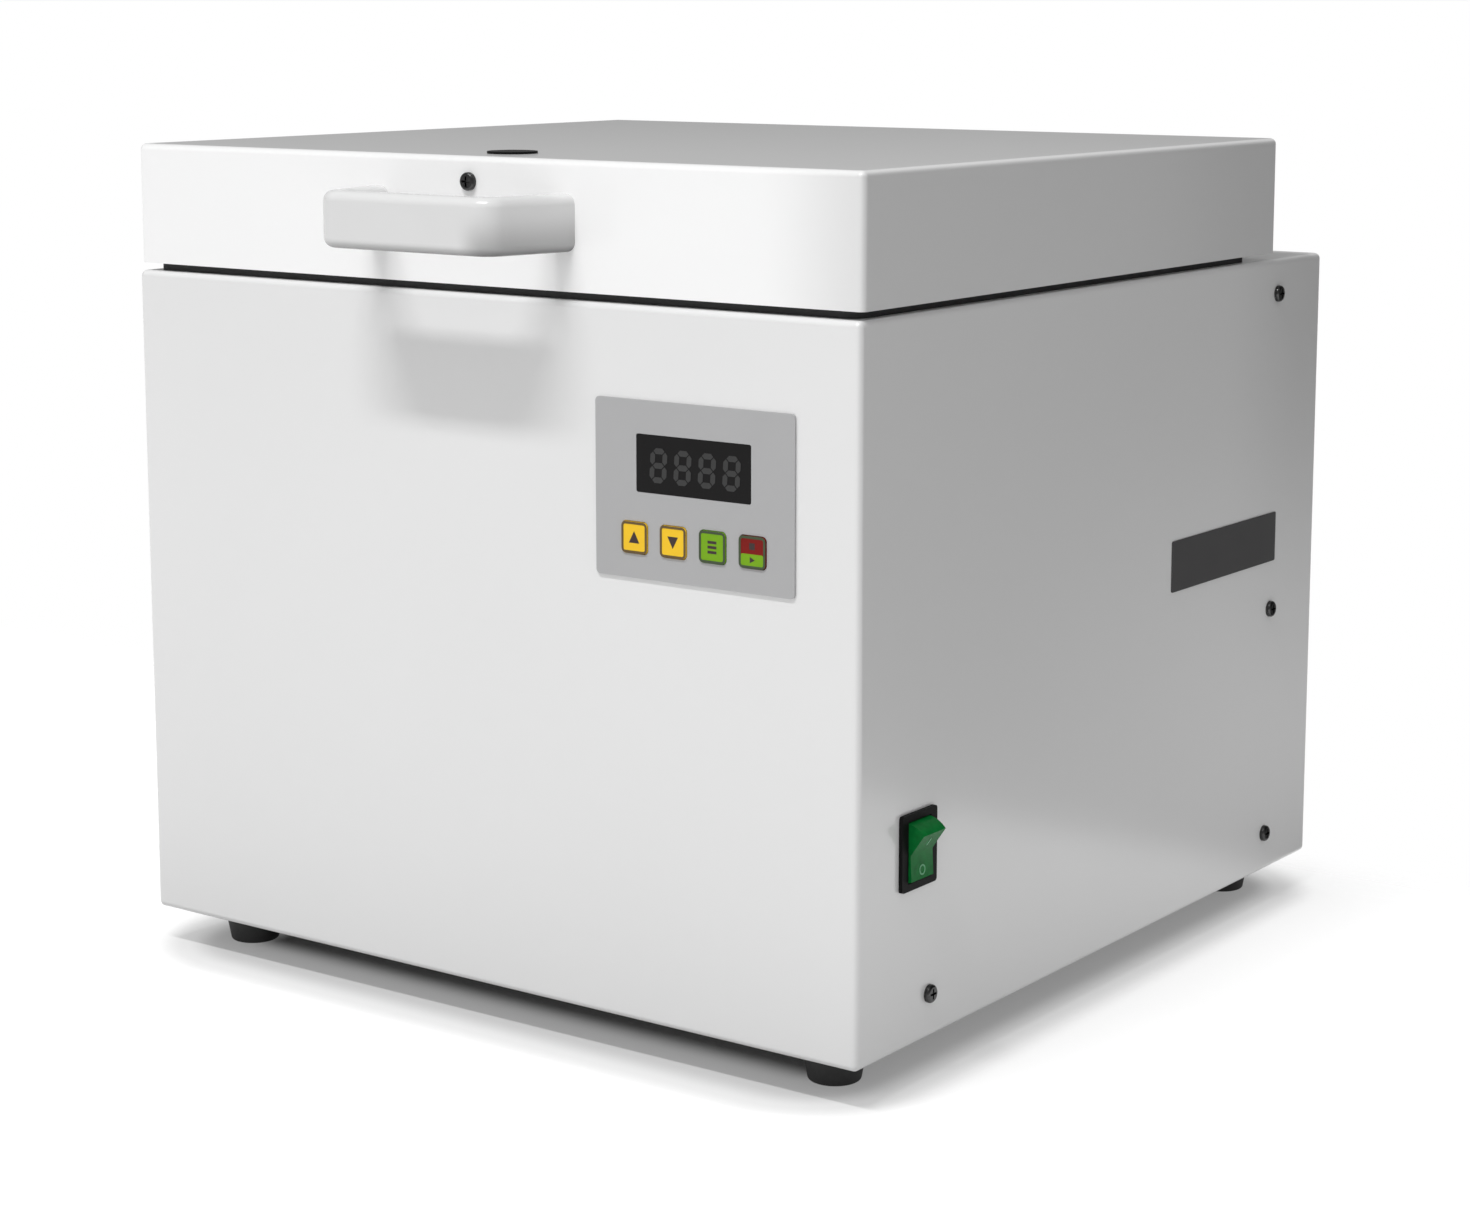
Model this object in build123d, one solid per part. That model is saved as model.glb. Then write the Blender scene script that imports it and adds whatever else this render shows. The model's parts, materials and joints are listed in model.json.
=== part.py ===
from build123d import *
import os
from math import sqrt

# A bench-top light curing cabinet for dental models. Millimetres, +Z up, front towards -Y.
# X = 0 is the cabinet's middle, Y = 0 is half way through its depth, Z = 0 is the bench.

# ---- Cabinet ----
CABINET_WIDTH = 410.0
CABINET_DEPTH = 421.0
CABINET_HEIGHT = 311.5  # from the underside to the deck
SHEET = 1.5  # folded steel sheet
BEND_RADIUS = 3.0  # outside radius of a folded edge
RETURN_FLANGE = 14.0  # in-turned around the casing's open bottom and rear
PAN_FLANGE = 32.0  # turned up around the base pan
REAR_BAY = 56.0  # bulkhead to the cabinet's rear edge
BULKHEAD_FLANGE = 14.0
BULKHEAD_TOP_FLANGE = 20.0
BULKHEAD_HOLE_RADIUS = 18.0
BULKHEAD_HOLES = 5
REAR_PANEL_INSET = 4.0  # from the casing's edges
FOLD_GAP = 1.0  # left between two folded flanges

# ---- Feet ----
FOOT_HEIGHT = 18.0  # bench to the cabinet's underside
FOOT_TOP_RADIUS = 15.0
FOOT_TREAD_RADIUS = 11.5
FOOT_TREAD_ROUND = 1.5
FOOT_INSET_SIDE = 33.0
FOOT_INSET_FRONT = 33.0
FOOT_INSET_REAR = 30.0
FOOT_RECESS_RADIUS = 5.5
FOOT_RECESS_DEPTH = 12.0

# ---- Screws ----
SCREW_RADIUS = 1.95
SCREW_LENGTH = 8.0
FOOT_SCREW_LENGTH = 12.0
SCREW_HEAD_RADIUS = 4.0
SCREW_HEAD_HEIGHT = 2.4
SCREW_HEAD_ROUND = 1.3
RECESS_SPAN = 4.6
RECESS_WIDTH = 1.0
RECESS_DEPTH = 1.5
TAPPED_RADIUS = 2.0
CLEARANCE_HOLE_RADIUS = 2.25
SIDE_SCREW_HEIGHTS = (20.0, 136.0, 294.5)  # above the underside
FRONT_SCREW_SETBACK = 55.5

# ---- Lid ----
LID_GAP = 3.5
LID_SETBACK = 1.7  # behind the cabinet's front face
DECK_BEHIND_LID = 53.3
LID_HEIGHT = 56.0
LID_FRAME_FLANGE = 12.0
WINDOW_LAP = 6.0  # how far the lid's frame reaches over the opening
LID_WINDOW_CORNER_RADIUS = 3.0
LID_PANE_THICKNESS = 4.0
LID_PANE_LAP = 8.0  # how far the pane lies on the frame
LID_PANE_GAP = 1.0  # pane to reflector
LID_LAMP_HEIGHT = 24.0  # above the lid's lower edge
LID_SCREW_HEIGHT = 45.0
LID_TAB_WIDTH = 30.0
LID_TAB_MARGIN = 6.0  # from the screw to the tab's end
SEAL_INSET = 6.0
SEAL_WIDTH = 12.0
SEAL_REAR_SETBACK = 18.0  # short of the lid's rear edge
SEAL_CORNER_RADIUS = 7.0
SEAT_GAP = 0.3  # between a resting piece that moves and its seat
PLUG_SETBACK = 31.0
PLUG_RADIUS = 11.2
PLUG_STEM_RADIUS = 9.2
PLUG_STEM_LENGTH = 5.0
PLUG_THICKNESS = 1.0
PLUG_CLEARANCE = 0.2

# ---- Handle ----
HANDLE_LENGTH = 117.0  # across the legs at the lid
HANDLE_FRONT_LENGTH = 97.0  # across the bar
HANDLE_REACH = 45.0
HANDLE_HEIGHT = 24.8
HANDLE_LIFT = 1.3  # above the middle of the lid's front
HANDLE_THICKNESS = 11.0
HANDLE_CORNER_RADIUS = 12.0  # outside, seen from above
HANDLE_INNER_RADIUS = 5.0
HANDLE_EDGE_RADIUS = 4.6
HANDLE_SCREW_DEPTH = 14.0

# ---- Hinge ----
HINGE_INSET = 25.0  # cabinet's side to the hinge's end
KNUCKLE_COUNT = 12
KNUCKLE_RADIUS = 3.2
KNUCKLE_END_GAP = 0.4
PIN_RADIUS = 1.5
PIN_CLEARANCE = 0.05
LEAF_THICKNESS = 1.2
LEAF_WIDTH = 18.0
STOP_RADIUS = 6.0
STOP_SETBACK = 35.0  # hinge line to stop
STOP_INSET = 55.0  # cabinet's side to the stop's middle

# ---- Chamber ----
OPENING_SIDE_INSET = 74.0  # cabinet's side to the opening
OPENING_END_INSET = 52.0  # lid's front and rear to the opening
OPENING_CORNER_RADIUS = 4.0
CHAMBER_HEIGHT = 195.0  # glass shelf to deck
LAMP_NICHE = 37.0  # how far the deck reaches over the side lamps
TUB_WALL = 1.0
TUB_BEND_RADIUS = 2.5
TUB_FLANGE = 10.0
SHELF_THICKNESS = 4.0
SHELF_CLEARANCE = 2.0
SHELF_CORNER_RADIUS = 6.0
BRACKET_WIDTH = 14.0
BRACKET_HEIGHT = 18.0
BRACKET_REACH = 10.0
BRACKET_THICKNESS = 1.2

# ---- Lamps ----
TUBE_RADIUS = 8.75
TUBE_SPACING = 21.5
TUBE_TIP_ROUND = 5.0
BRIDGE_RADIUS = 4.0
BRIDGE_SETBACK = 14.0
LAMP_END_GAP = 21.0  # lamp's tip to the tub's front wall
CAP_LENGTH = 25.0
CAP_WIDTH = 43.0
CAP_THICKNESS = 23.0
CAP_ROUND = 3.0
LAMP_STANDOFF = 22.0  # reflector to the middle of the tubes
LAMP_ROW = 4  # lamps in the floor, and again in the lid
LAMP_PITCH = 62.0  # middle to middle in a row
FLOOR_LAMP_DROP = 26.5  # glass shelf's top to the floor lamps' middle
SIDE_LAMP_RISE = 40.0  # glass shelf's top to the lower side lamp
SIDE_LAMP_PITCH = 80.0
HOLDER_LENGTH = 16.0
HOLDER_WIDTH = 46.0
HOLDER_THICKNESS = 25.0
HOLDER_FOOT_WIDTH = 30.0
CLIP_WIDTH = 44.0
CLIP_LENGTH = 8.0
CLIP_WRAP = 3.0  # how far the clip reaches past the tubes' middle
CLIP_SETBACK = 34.0  # lamp's tip to clip
CLIP_CLEARANCE = 0.1

# ---- Control panel ----
PANEL_WIDTH = 103.0
PANEL_HEIGHT = 76.2
PANEL_THICKNESS = 1.0
PANEL_CORNER_RADIUS = 2.0
PANEL_SIDE_INSET = 31.0  # from the cabinet's right side
PANEL_RISE = 234.0  # underside to the panel's middle
DISPLAY_WIDTH = 59.5
DISPLAY_HEIGHT = 24.9
DISPLAY_RISE = 11.4  # above the panel's middle
LENS_THICKNESS = 0.9
LENS_CLEARANCE = 0.1
MODULE_WIDTH = 50.3
MODULE_HEIGHT = 19.0
CUTOUT_MARGIN = 1.0
KEY_NAMES = ("key_up", "key_down", "key_program", "key_start_stop")
KEY_WIDTH = 13.5
KEY_HEIGHT = 13.5
KEY_CORNER_RADIUS = 2.0
KEY_PITCH = 20.4
KEY_DROP = 20.7  # below the panel's middle
KEY_PROUD = 0.6
KEY_CLEARANCE = 0.3
KEY_TRAVEL = 0.5
KEY_FLANGE = 0.9
KEY_FLANGE_THICKNESS = 1.0
KEY_STEM_RADIUS = 2.5
KEY_PLAY = 0.1  # key flange to panel
MODULE_GAP = 0.2  # display module to window
BOARD_SETBACK = 10.0  # cabinet's front face to the board
BOARD_WIDTH = 96.0
BOARD_HEIGHT = 72.0
BOARD_THICKNESS = 1.6
TACT_SIZE = 6.0
TACT_HEIGHT = 5.0
SPACER_RADIUS = 3.0
SPACER_INSET = 5.0

# ---- Rocker switch ----
SWITCH_SETBACK = 44.5
SWITCH_RISE = 86.0
BEZEL_WIDTH = 27.0
BEZEL_HEIGHT = 33.0
BEZEL_THICKNESS = 1.8
BEZEL_CORNER_RADIUS = 1.5
SWITCH_BODY_WIDTH = 23.5
SWITCH_BODY_HEIGHT = 28.6
SWITCH_BODY_DEPTH = 24.0
SWITCH_CUTOUT_GAP = 0.25
ROCKER_WIDTH = 17.0
ROCKER_END_RADIUS = 13.0
ROCKER_VALLEY = 3.6  # pivot to the middle of the rocker's face
ROCKER_CREST = 8.0  # pivot to its ends
ROCKER_DEPTH = 6.0
ROCKER_TILT = 16.0  # each side of level, in degrees
ROCKER_GAP = 0.35
AXLE_RADIUS = 1.5
AXLE_REACH = 1.6
PIVOT_DEPTH = 2.6  # below the bezel's face

# ---- Side plate ----
PLATE_LENGTH = 109.0
PLATE_HEIGHT = 24.6
PLATE_THICKNESS = 0.5
PLATE_CORNER_RADIUS = 1.0
PLATE_REAR_SETBACK = 100.0  # plate's middle to the cabinet's rear edge
PLATE_RISE = 172.7

# ---- Mains inlet ----
INLET_SIDE_INSET = 70.0  # from the cabinet's left side
INLET_RISE = 60.0
INLET_WIDTH = 50.0
INLET_HEIGHT = 40.0
INLET_FLANGE = 2.5
INLET_BODY_WIDTH = 44.0
INLET_BODY_HEIGHT = 35.0
INLET_BODY_DEPTH = 24.0
INLET_CORNER_RADIUS = 2.5
INLET_CUTOUT_GAP = 0.5
SOCKET_WIDTH = 24.0
SOCKET_HEIGHT = 16.5
SOCKET_DEPTH = 17.0
SOCKET_CHAMFER = 4.0
SOCKET_RISE = 5.5
CONTACT_WIDTH = 2.0
CONTACT_HEIGHT = 4.0
CONTACT_LENGTH = 12.0
CONTACT_PITCH = 7.0
EARTH_RISE = 4.0
DRAWER_WIDTH = 22.0
DRAWER_HEIGHT = 7.0
DRAWER_DEPTH = 16.0
DRAWER_DROP = 12.0
DRAWER_LIP = 1.0
DRAWER_LIP_THICKNESS = 1.2
DRAWER_CLEARANCE = 0.3

# ---- Fan ----
FAN_SIDE_INSET = 95.0  # from the cabinet's right side
FAN_RISE = 165.0
FAN_SIZE = 119.0
FAN_DEPTH = 25.4
FAN_BORE_RADIUS = 57.3
FAN_CORNER_RADIUS = 6.0
FAN_HOLE_PITCH = 105.0
FAN_HUB_RADIUS = 21.0
FAN_HUB_THICKNESS = 3.0
FAN_STRUT_WIDTH = 5.0
BEARING_RADIUS = 5.0
SHAFT_RADIUS = 2.0
SHAFT_CLEARANCE = 0.05
ROTOR_RADIUS = 20.0
ROTOR_WALL = 2.0
ROTOR_END_GAP = 1.5
BLADE_COUNT = 7
BLADE_TIP_RADIUS = 55.5
BLADE_CHORD = 22.0
BLADE_THICKNESS = 1.8
BLADE_PITCH = 35.0
GUARD_WIRE_RADIUS = 0.9
GUARD_WELD = 0.4  # how far a ring sinks into a spoke
GUARD_RINGS = (16.0, 27.0, 38.0, 49.0, 58.0)
GUARD_LUG_RADIUS = 4.8
GUARD_LUG_THICKNESS = 1.6  # the spoke's end, pressed flat
GUARD_STANDOFF = 0.1  # panel to spoke

# ---- Air slots ----
SLOT_LENGTH = 52.0
SLOT_HEIGHT = 4.0
SLOT_PITCH = 11.0
REAR_SLOT_ROWS = 9
PAN_SLOT_ROWS = 8

# ---- Ballasts ----
BALLAST_WIDTH = 79.0
BALLAST_LENGTH = 123.0
BALLAST_HEIGHT = 31.0
BALLAST_EAR = 10.0
BALLAST_EAR_THICKNESS = 1.2
BALLAST_PITCH_X = 95.0
BALLAST_PITCH_Y = 150.0
BALLAST_COLUMNS = 3
BALLAST_ROWS = 2

# ---- Interlock ----
INTERLOCK_X = -100.0
INTERLOCK_SETBACK = 27.0
SENSOR_SIZE = (32.0, 12.0, 8.0)
MAGNET_SIZE = (28.0, 10.0, 6.0)

# ---- Places worked out from the sizes above ----
side_x = CABINET_WIDTH / 2
front_y = -CABINET_DEPTH / 2
back_y = CABINET_DEPTH / 2
rear_y = back_y + SHEET  # outer face of the rear panel
base_z = FOOT_HEIGHT
deck_z = base_z + CABINET_HEIGHT
inner_x = side_x - SHEET
pan_z = base_z + SHEET  # underside of the base pan
pan_top = pan_z + SHEET
pan_flange_top = pan_z + PAN_FLANGE
deck_under = deck_z - SHEET
flange_inner_x = side_x - RETURN_FLANGE
bulkhead_y = back_y - REAR_BAY
side_screw_y = bulkhead_y + BULKHEAD_FLANGE / 2

lid_z = deck_z + LID_GAP
lid_top = lid_z + LID_HEIGHT
lid_front = front_y + LID_SETBACK
lid_back = back_y - DECK_BEHIND_LID
handle_z = lid_z + LID_HEIGHT / 2 + HANDLE_LIFT
hinge_y = lid_back + SEAT_GAP + KNUCKLE_RADIUS
hinge_z = deck_z + SEAT_GAP + KNUCKLE_RADIUS
open_lid_z = hinge_z + KNUCKLE_RADIUS + SEAT_GAP  # the opened lid's rear wall
hinge_length = CABINET_WIDTH - 2 * HINGE_INSET

handle_splay = (HANDLE_LENGTH - HANDLE_FRONT_LENGTH) / 2 / HANDLE_REACH
handle_leg_width = HANDLE_THICKNESS * sqrt(1 + handle_splay**2)

chamber_y = (lid_front + lid_back) / 2
shelf_z = deck_z - CHAMBER_HEIGHT  # top of the glass shelf
floor_lamp_z = shelf_z - FLOOR_LAMP_DROP
tub_floor_z = floor_lamp_z - LAMP_STANDOFF
opening_width = CABINET_WIDTH - 2 * OPENING_SIDE_INSET
opening_depth = lid_back - lid_front - 2 * OPENING_END_INSET
tub_x = opening_width / 2 + LAMP_NICHE
tub_half_y = opening_depth / 2
lamp_length = opening_depth - HOLDER_LENGTH - LAMP_END_GAP
side_lamp_x = tub_x - LAMP_STANDOFF
lid_frame_top = lid_z + SHEET
lid_lamp_z = lid_z + LID_LAMP_HEIGHT
lid_reflector_z = lid_lamp_z + LAMP_STANDOFF
window_width = opening_width - 2 * WINDOW_LAP
window_depth = opening_depth - 2 * WINDOW_LAP
lid_pane_x = window_width / 2 + LID_PANE_LAP
lid_pane_half_y = window_depth / 2 + LID_PANE_LAP
lid_reflector_x = lid_pane_x + LID_PANE_GAP
lid_reflector_half_y = lid_pane_half_y + LID_PANE_GAP

panel_x = side_x - PANEL_SIDE_INSET - PANEL_WIDTH / 2
panel_z = base_z + PANEL_RISE
display_z = panel_z + DISPLAY_RISE
key_z = panel_z - KEY_DROP
board_y = front_y + BOARD_SETBACK
switch_y = front_y + SWITCH_SETBACK
switch_z = base_z + SWITCH_RISE
pivot_x = side_x + BEZEL_THICKNESS - PIVOT_DEPTH
inlet_x = -side_x + INLET_SIDE_INSET
inlet_z = base_z + INLET_RISE
fan_x = side_x - FAN_SIDE_INSET
fan_z = base_z + FAN_RISE

# Turns that point +Z the named way.
TURN = {
    "+X": Rot(0, 90, 0),
    "-X": Rot(0, -90, 0),
    "+Y": Rot(-90, 0, 0),
    "-Y": Rot(90, 0, 0),
    "+Z": Rot(0, 0, 0),
    "-Z": Rot(180, 0, 0),
}


# ---- Shapes that more than one piece uses ----
def block(x0, x1, y0, y1, z0, z1):
    """A box between two corners."""
    middle = Pos((x0 + x1) / 2, (y0 + y1) / 2, (z0 + z1) / 2)
    return middle * Box(x1 - x0, y1 - y0, z1 - z0)


def rod(way, start, radius, length):
    """A cylinder that grows from its start the named way."""
    return Pos(*start) * TURN[way] * Pos(0, 0, length / 2) * Cylinder(radius, length)


def rounded_plate(way, start, width, height, thickness, radius):
    """A plate with rounded corners that grows from its start the named way."""
    outline = RectangleRounded(width, height, radius)
    return Pos(*start) * TURN[way] * extrude(outline, thickness)


def cutter(way, start, width, height, depth, radius):
    """A rounded tool that cuts through a sheet on both sides of its start."""
    outline = RectangleRounded(width, height, radius)
    return Pos(*start) * TURN[way] * extrude(outline, depth, both=True)


def folded_tray(x0, x1, y0, y1, z0, z1, wall, radius, opens):
    """A sheet tray with bent edges that opens up or down."""
    outer = block(x0, x1, y0, y1, z0, z1)
    closed = outer.faces().sort_by(Axis.Z)[0 if opens == "up" else -1]
    outer = fillet(outer.edges().filter_by(Axis.Z) + closed.edges(), radius)
    low = z0 + wall if opens == "up" else z0 - wall
    high = z1 + wall if opens == "up" else z1 - wall
    inner = block(x0 + wall, x1 - wall, y0 + wall, y1 - wall, low, high)
    closed = inner.faces().sort_by(Axis.Z)[0 if opens == "up" else -1]
    inner = fillet(inner.edges().filter_by(Axis.Z) + closed.edges(), radius - wall)
    return outer - inner


def pan_screw(length):
    """A pan-head screw with a cross recess, its seat at Z = 0 and its head above."""
    head = Pos(0, 0, SCREW_HEAD_HEIGHT / 2) * Cylinder(SCREW_HEAD_RADIUS, SCREW_HEAD_HEIGHT)
    head = fillet(head.edges().filter_by(GeomType.CIRCLE).sort_by(Axis.Z)[-1], SCREW_HEAD_ROUND)
    bar = Box(RECESS_SPAN, RECESS_WIDTH, 2 * RECESS_DEPTH)
    cross = Pos(0, 0, SCREW_HEAD_HEIGHT) * (bar + Rot(0, 0, 90) * bar)
    shank = Pos(0, 0, -length / 2) * Cylinder(SCREW_RADIUS, length)
    return head - cross + shank


def group(pieces):
    """Separate solids that share one node."""
    solids = []
    for piece in pieces:
        solids.extend(piece.solids())
    return Compound(children=solids)


def spread(count, pitch):
    """Distances of a row's members from its middle."""
    return [(i - (count - 1) / 2) * pitch for i in range(count)]


# ---- Where the screws go: (place of the seat, way the head points) ----
def side_screw_places():
    """Four screws on each side: three in the rear column and one near the front."""
    places = []
    for way, x in (("+X", side_x), ("-X", -side_x)):
        for height in SIDE_SCREW_HEIGHTS:
            places.append(((x, side_screw_y, base_z + height), way))
        lowest = base_z + SIDE_SCREW_HEIGHTS[0]
        places.append(((x, front_y + FRONT_SCREW_SETBACK, lowest), way))
    return places


def rear_screw_places():
    """Eight screws around the rear panel, in the casing's return flange."""
    inset = (RETURN_FLANGE + REAR_PANEL_INSET) / 2
    low = base_z + inset
    high = deck_z - inset
    middle = (low + high) / 2
    x = side_x - inset
    corners = [(side * x, z) for side in (-1, 1) for z in (low, middle, high)]
    middles = [(0, low), (0, high)]
    return [((screw_x, rear_y, z), "+Y") for screw_x, z in corners + middles]


def fan_screw_places():
    """The fan's four corners, on the guard's lugs."""
    half = FAN_HOLE_PITCH / 2
    lug_y = rear_y + GUARD_LUG_THICKNESS
    corners = [(x, z) for x in (-half, half) for z in (-half, half)]
    return [((fan_x + x, lug_y, fan_z + z), "+Y") for x, z in corners]


def foot_places():
    """The feet's middles, with the name of each."""
    x = side_x - FOOT_INSET_SIDE
    front = front_y + FOOT_INSET_FRONT
    rear = back_y - FOOT_INSET_REAR
    return {
        "foot_front_left": (-x, front),
        "foot_front_right": (x, front),
        "foot_rear_left": (-x, rear),
        "foot_rear_right": (x, rear),
    }


def floor_lamp_places():
    """The four lamps under the glass shelf, turned so that +Z points away from the reflector."""
    y = chamber_y + tub_half_y - HOLDER_LENGTH
    rows = enumerate(spread(LAMP_ROW, LAMP_PITCH), 1)
    return {f"floor_lamp_{i}": Pos(x, y, floor_lamp_z) for i, x in rows}


def side_lamp_places():
    """Two lamps on each side of the chamber, one above the other."""
    y = chamber_y + tub_half_y - HOLDER_LENGTH
    places = {}
    for side, name in ((-1, "left"), (1, "right")):
        for level, rise in (("lower", 0), ("upper", SIDE_LAMP_PITCH)):
            z = shelf_z + SIDE_LAMP_RISE + rise
            places[f"{name}_lamp_{level}"] = Pos(side * side_lamp_x, y, z) * Rot(0, -90 * side, 0)
    return places


def lid_lamp_places():
    """The four lamps above the lid's glass pane."""
    y = chamber_y + lid_reflector_half_y - HOLDER_LENGTH
    rows = enumerate(spread(LAMP_ROW, LAMP_PITCH), 1)
    return {f"lid_lamp_{i}": Pos(x, y, lid_lamp_z) * Rot(0, 180, 0) for i, x in rows}


# ---- Cabinet ----
def outer_casing():
    """Front, sides and deck folded from one sheet, with return flanges at the bottom and rear."""
    outer = block(-side_x, side_x, front_y, back_y, base_z, deck_z)
    inner = block(-inner_x, inner_x, front_y + SHEET, back_y - SHEET, pan_z, deck_under)
    casing = fillet(outer.edges(), BEND_RADIUS) - fillet(inner.edges(), BEND_RADIUS - SHEET)
    x = flange_inner_x
    bottom_y0 = front_y + RETURN_FLANGE
    casing -= block(-x, x, bottom_y0, back_y - RETURN_FLANGE, base_z - SHEET, pan_top)
    rear_z0 = base_z + RETURN_FLANGE
    casing -= block(-x, x, back_y - 2 * SHEET, rear_y, rear_z0, deck_z - RETURN_FLANGE)
    opening = (0, chamber_y, deck_z)
    casing -= cutter("+Z", opening, opening_width, opening_depth, 2 * SHEET, OPENING_CORNER_RADIUS)
    casing -= panel_cutouts()
    casing -= cutter(
        "+X",
        (side_x, switch_y, switch_z),
        SWITCH_BODY_HEIGHT + 2 * SWITCH_CUTOUT_GAP,
        SWITCH_BODY_WIDTH + 2 * SWITCH_CUTOUT_GAP,
        2 * SHEET,
        BEZEL_CORNER_RADIUS,
    )
    for place, way in side_screw_places():
        casing -= screw_hole(place, way, CLEARANCE_HOLE_RADIUS)
    for place, way in rear_screw_places():
        casing -= screw_hole(place, way, TAPPED_RADIUS)
    return casing


def screw_hole(place, way, radius):
    """A hole through the sheets behind a screw's seat."""
    return Pos(*place) * TURN[way] * Cylinder(radius, 2 * SCREW_LENGTH)


def panel_cutouts():
    """Holes in the casing's front behind the display window and behind the keys."""
    display = cutter(
        "-Y",
        (panel_x, front_y, display_z),
        MODULE_WIDTH + 2 * CUTOUT_MARGIN,
        MODULE_HEIGHT + 2 * CUTOUT_MARGIN,
        2 * SHEET,
        CUTOUT_MARGIN,
    )
    flange = KEY_FLANGE + CUTOUT_MARGIN
    keys = cutter(
        "-Y",
        (panel_x, front_y, key_z),
        (len(KEY_NAMES) - 1) * KEY_PITCH + KEY_WIDTH + 2 * flange,
        KEY_HEIGHT + 2 * flange,
        2 * SHEET,
        CUTOUT_MARGIN,
    )
    return display + keys


def air_slots(way, middle, rows):
    """A column of round-ended slots through a sheet."""
    slots = []
    for shift in spread(rows, SLOT_PITCH):
        offset = Pos(0, shift, 0) if way == "+Z" else Pos(0, 0, shift)
        outline = SlotOverall(SLOT_LENGTH, SLOT_HEIGHT)
        slots.append(offset * Pos(*middle) * TURN[way] * extrude(outline, 2 * SHEET, both=True))
    return slots


def base_pan():
    """The floor of the cabinet, with flanges turned up, air slots and holes for the feet."""
    pan = folded_tray(
        -inner_x,
        inner_x,
        front_y + SHEET,
        back_y - SHEET,
        pan_z,
        pan_flange_top,
        SHEET,
        BEND_RADIUS - SHEET / 2,
        "up",
    )
    ballasts_x = (BALLAST_COLUMNS - 1) / 2 * BALLAST_PITCH_X + BALLAST_WIDTH / 2
    slot_x = (ballasts_x + flange_inner_x) / 2
    for side in (-1, 1):
        pan -= air_slots("+Z", (side * slot_x, chamber_y, pan_z), PAN_SLOT_ROWS)
    for x, y in foot_places().values():
        pan -= screw_hole((x, y, pan_z), "-Z", TAPPED_RADIUS)
    for place, way in side_screw_places() + rear_screw_places():
        pan -= screw_hole(place, way, TAPPED_RADIUS)
    return pan


def rear_panel():
    """The plate over the open rear, with the fan's bore, the inlet's cut-out and air slots."""
    width = CABINET_WIDTH - 2 * REAR_PANEL_INSET
    height = CABINET_HEIGHT - 2 * REAR_PANEL_INSET
    middle = (0, back_y, base_z + CABINET_HEIGHT / 2)
    panel = rounded_plate("+Y", middle, width, height, SHEET, BEND_RADIUS)
    panel -= Pos(fan_x, back_y, fan_z) * TURN["+Y"] * Cylinder(FAN_BORE_RADIUS, 4 * SHEET)
    panel -= cutter(
        "+Y",
        (inlet_x, back_y, inlet_z),
        INLET_BODY_WIDTH + 2 * INLET_CUTOUT_GAP,
        INLET_BODY_HEIGHT + 2 * INLET_CUTOUT_GAP,
        2 * SHEET,
        INLET_CORNER_RADIUS,
    )
    panel -= air_slots("+Y", (inlet_x, back_y, fan_z + SLOT_PITCH), REAR_SLOT_ROWS)
    for place, way in rear_screw_places() + fan_screw_places():
        panel -= screw_hole(place, way, CLEARANCE_HOLE_RADIUS)
    return panel


def hinge_bulkhead():
    """The folded plate under the lid's hinge, with flanges to the sides, the deck and the pan."""
    low_x = inner_x - SHEET - FOLD_GAP
    wide_z = pan_flange_top + FOLD_GAP
    front, rear = bulkhead_y, bulkhead_y + SHEET
    flange_rear = bulkhead_y + BULKHEAD_FLANGE
    bulkhead = block(-low_x, low_x, front, rear, pan_top, deck_under)
    bulkhead += block(-inner_x, inner_x, front, rear, wide_z, deck_under - BEND_RADIUS)
    for x0, x1 in ((-inner_x, -inner_x + SHEET), (inner_x - SHEET, inner_x)):
        bulkhead += block(x0, x1, front, flange_rear, wide_z, deck_under - BEND_RADIUS)
    top_rear = bulkhead_y + BULKHEAD_TOP_FLANGE
    bulkhead += block(-low_x, low_x, front, top_rear, deck_under - SHEET, deck_under)
    bulkhead += block(-low_x, low_x, front, flange_rear, pan_top, pan_top + SHEET)
    pitch = CABINET_WIDTH / (BULKHEAD_HOLES + 1)
    for i in range(BULKHEAD_HOLES):
        x = (i + 1) * pitch - side_x
        bulkhead -= rod("+Y", (x, front - SHEET, fan_z), BULKHEAD_HOLE_RADIUS, 3 * SHEET)
    for place, way in side_screw_places():
        bulkhead -= screw_hole(place, way, TAPPED_RADIUS)
    return bulkhead


def casing_screws():
    """The pan-head screws of the sides, the rear panel, the fan and the feet."""
    screws = []
    for (x, y, z), way in side_screw_places() + rear_screw_places() + fan_screw_places():
        screws.append(Pos(x, y, z) * TURN[way] * pan_screw(SCREW_LENGTH))
    for x, y in foot_places().values():
        screws.append(Pos(x, y, FOOT_RECESS_DEPTH) * TURN["-Z"] * pan_screw(FOOT_SCREW_LENGTH))
    return group(screws)


def foot(x, y):
    """A tapered rubber foot under the base pan, with a recess for its screw."""
    body = Pos(x, y, pan_z / 2) * Cone(FOOT_TREAD_RADIUS, FOOT_TOP_RADIUS, pan_z)
    body = fillet(body.edges().filter_by(GeomType.CIRCLE).sort_by(Axis.Z)[0], FOOT_TREAD_ROUND)
    body -= rod("+Z", (x, y, 0), FOOT_RECESS_RADIUS, FOOT_RECESS_DEPTH)
    return body - rod("+Z", (x, y, 0), TAPPED_RADIUS, pan_z)


def label_plate():
    """A bare dark plate low at the rear of the right side."""
    seat = (side_x, back_y - PLATE_REAR_SETBACK, base_z + PLATE_RISE)
    return rounded_plate(
        "+X", seat, PLATE_HEIGHT, PLATE_LENGTH, PLATE_THICKNESS, PLATE_CORNER_RADIUS
    )


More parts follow.
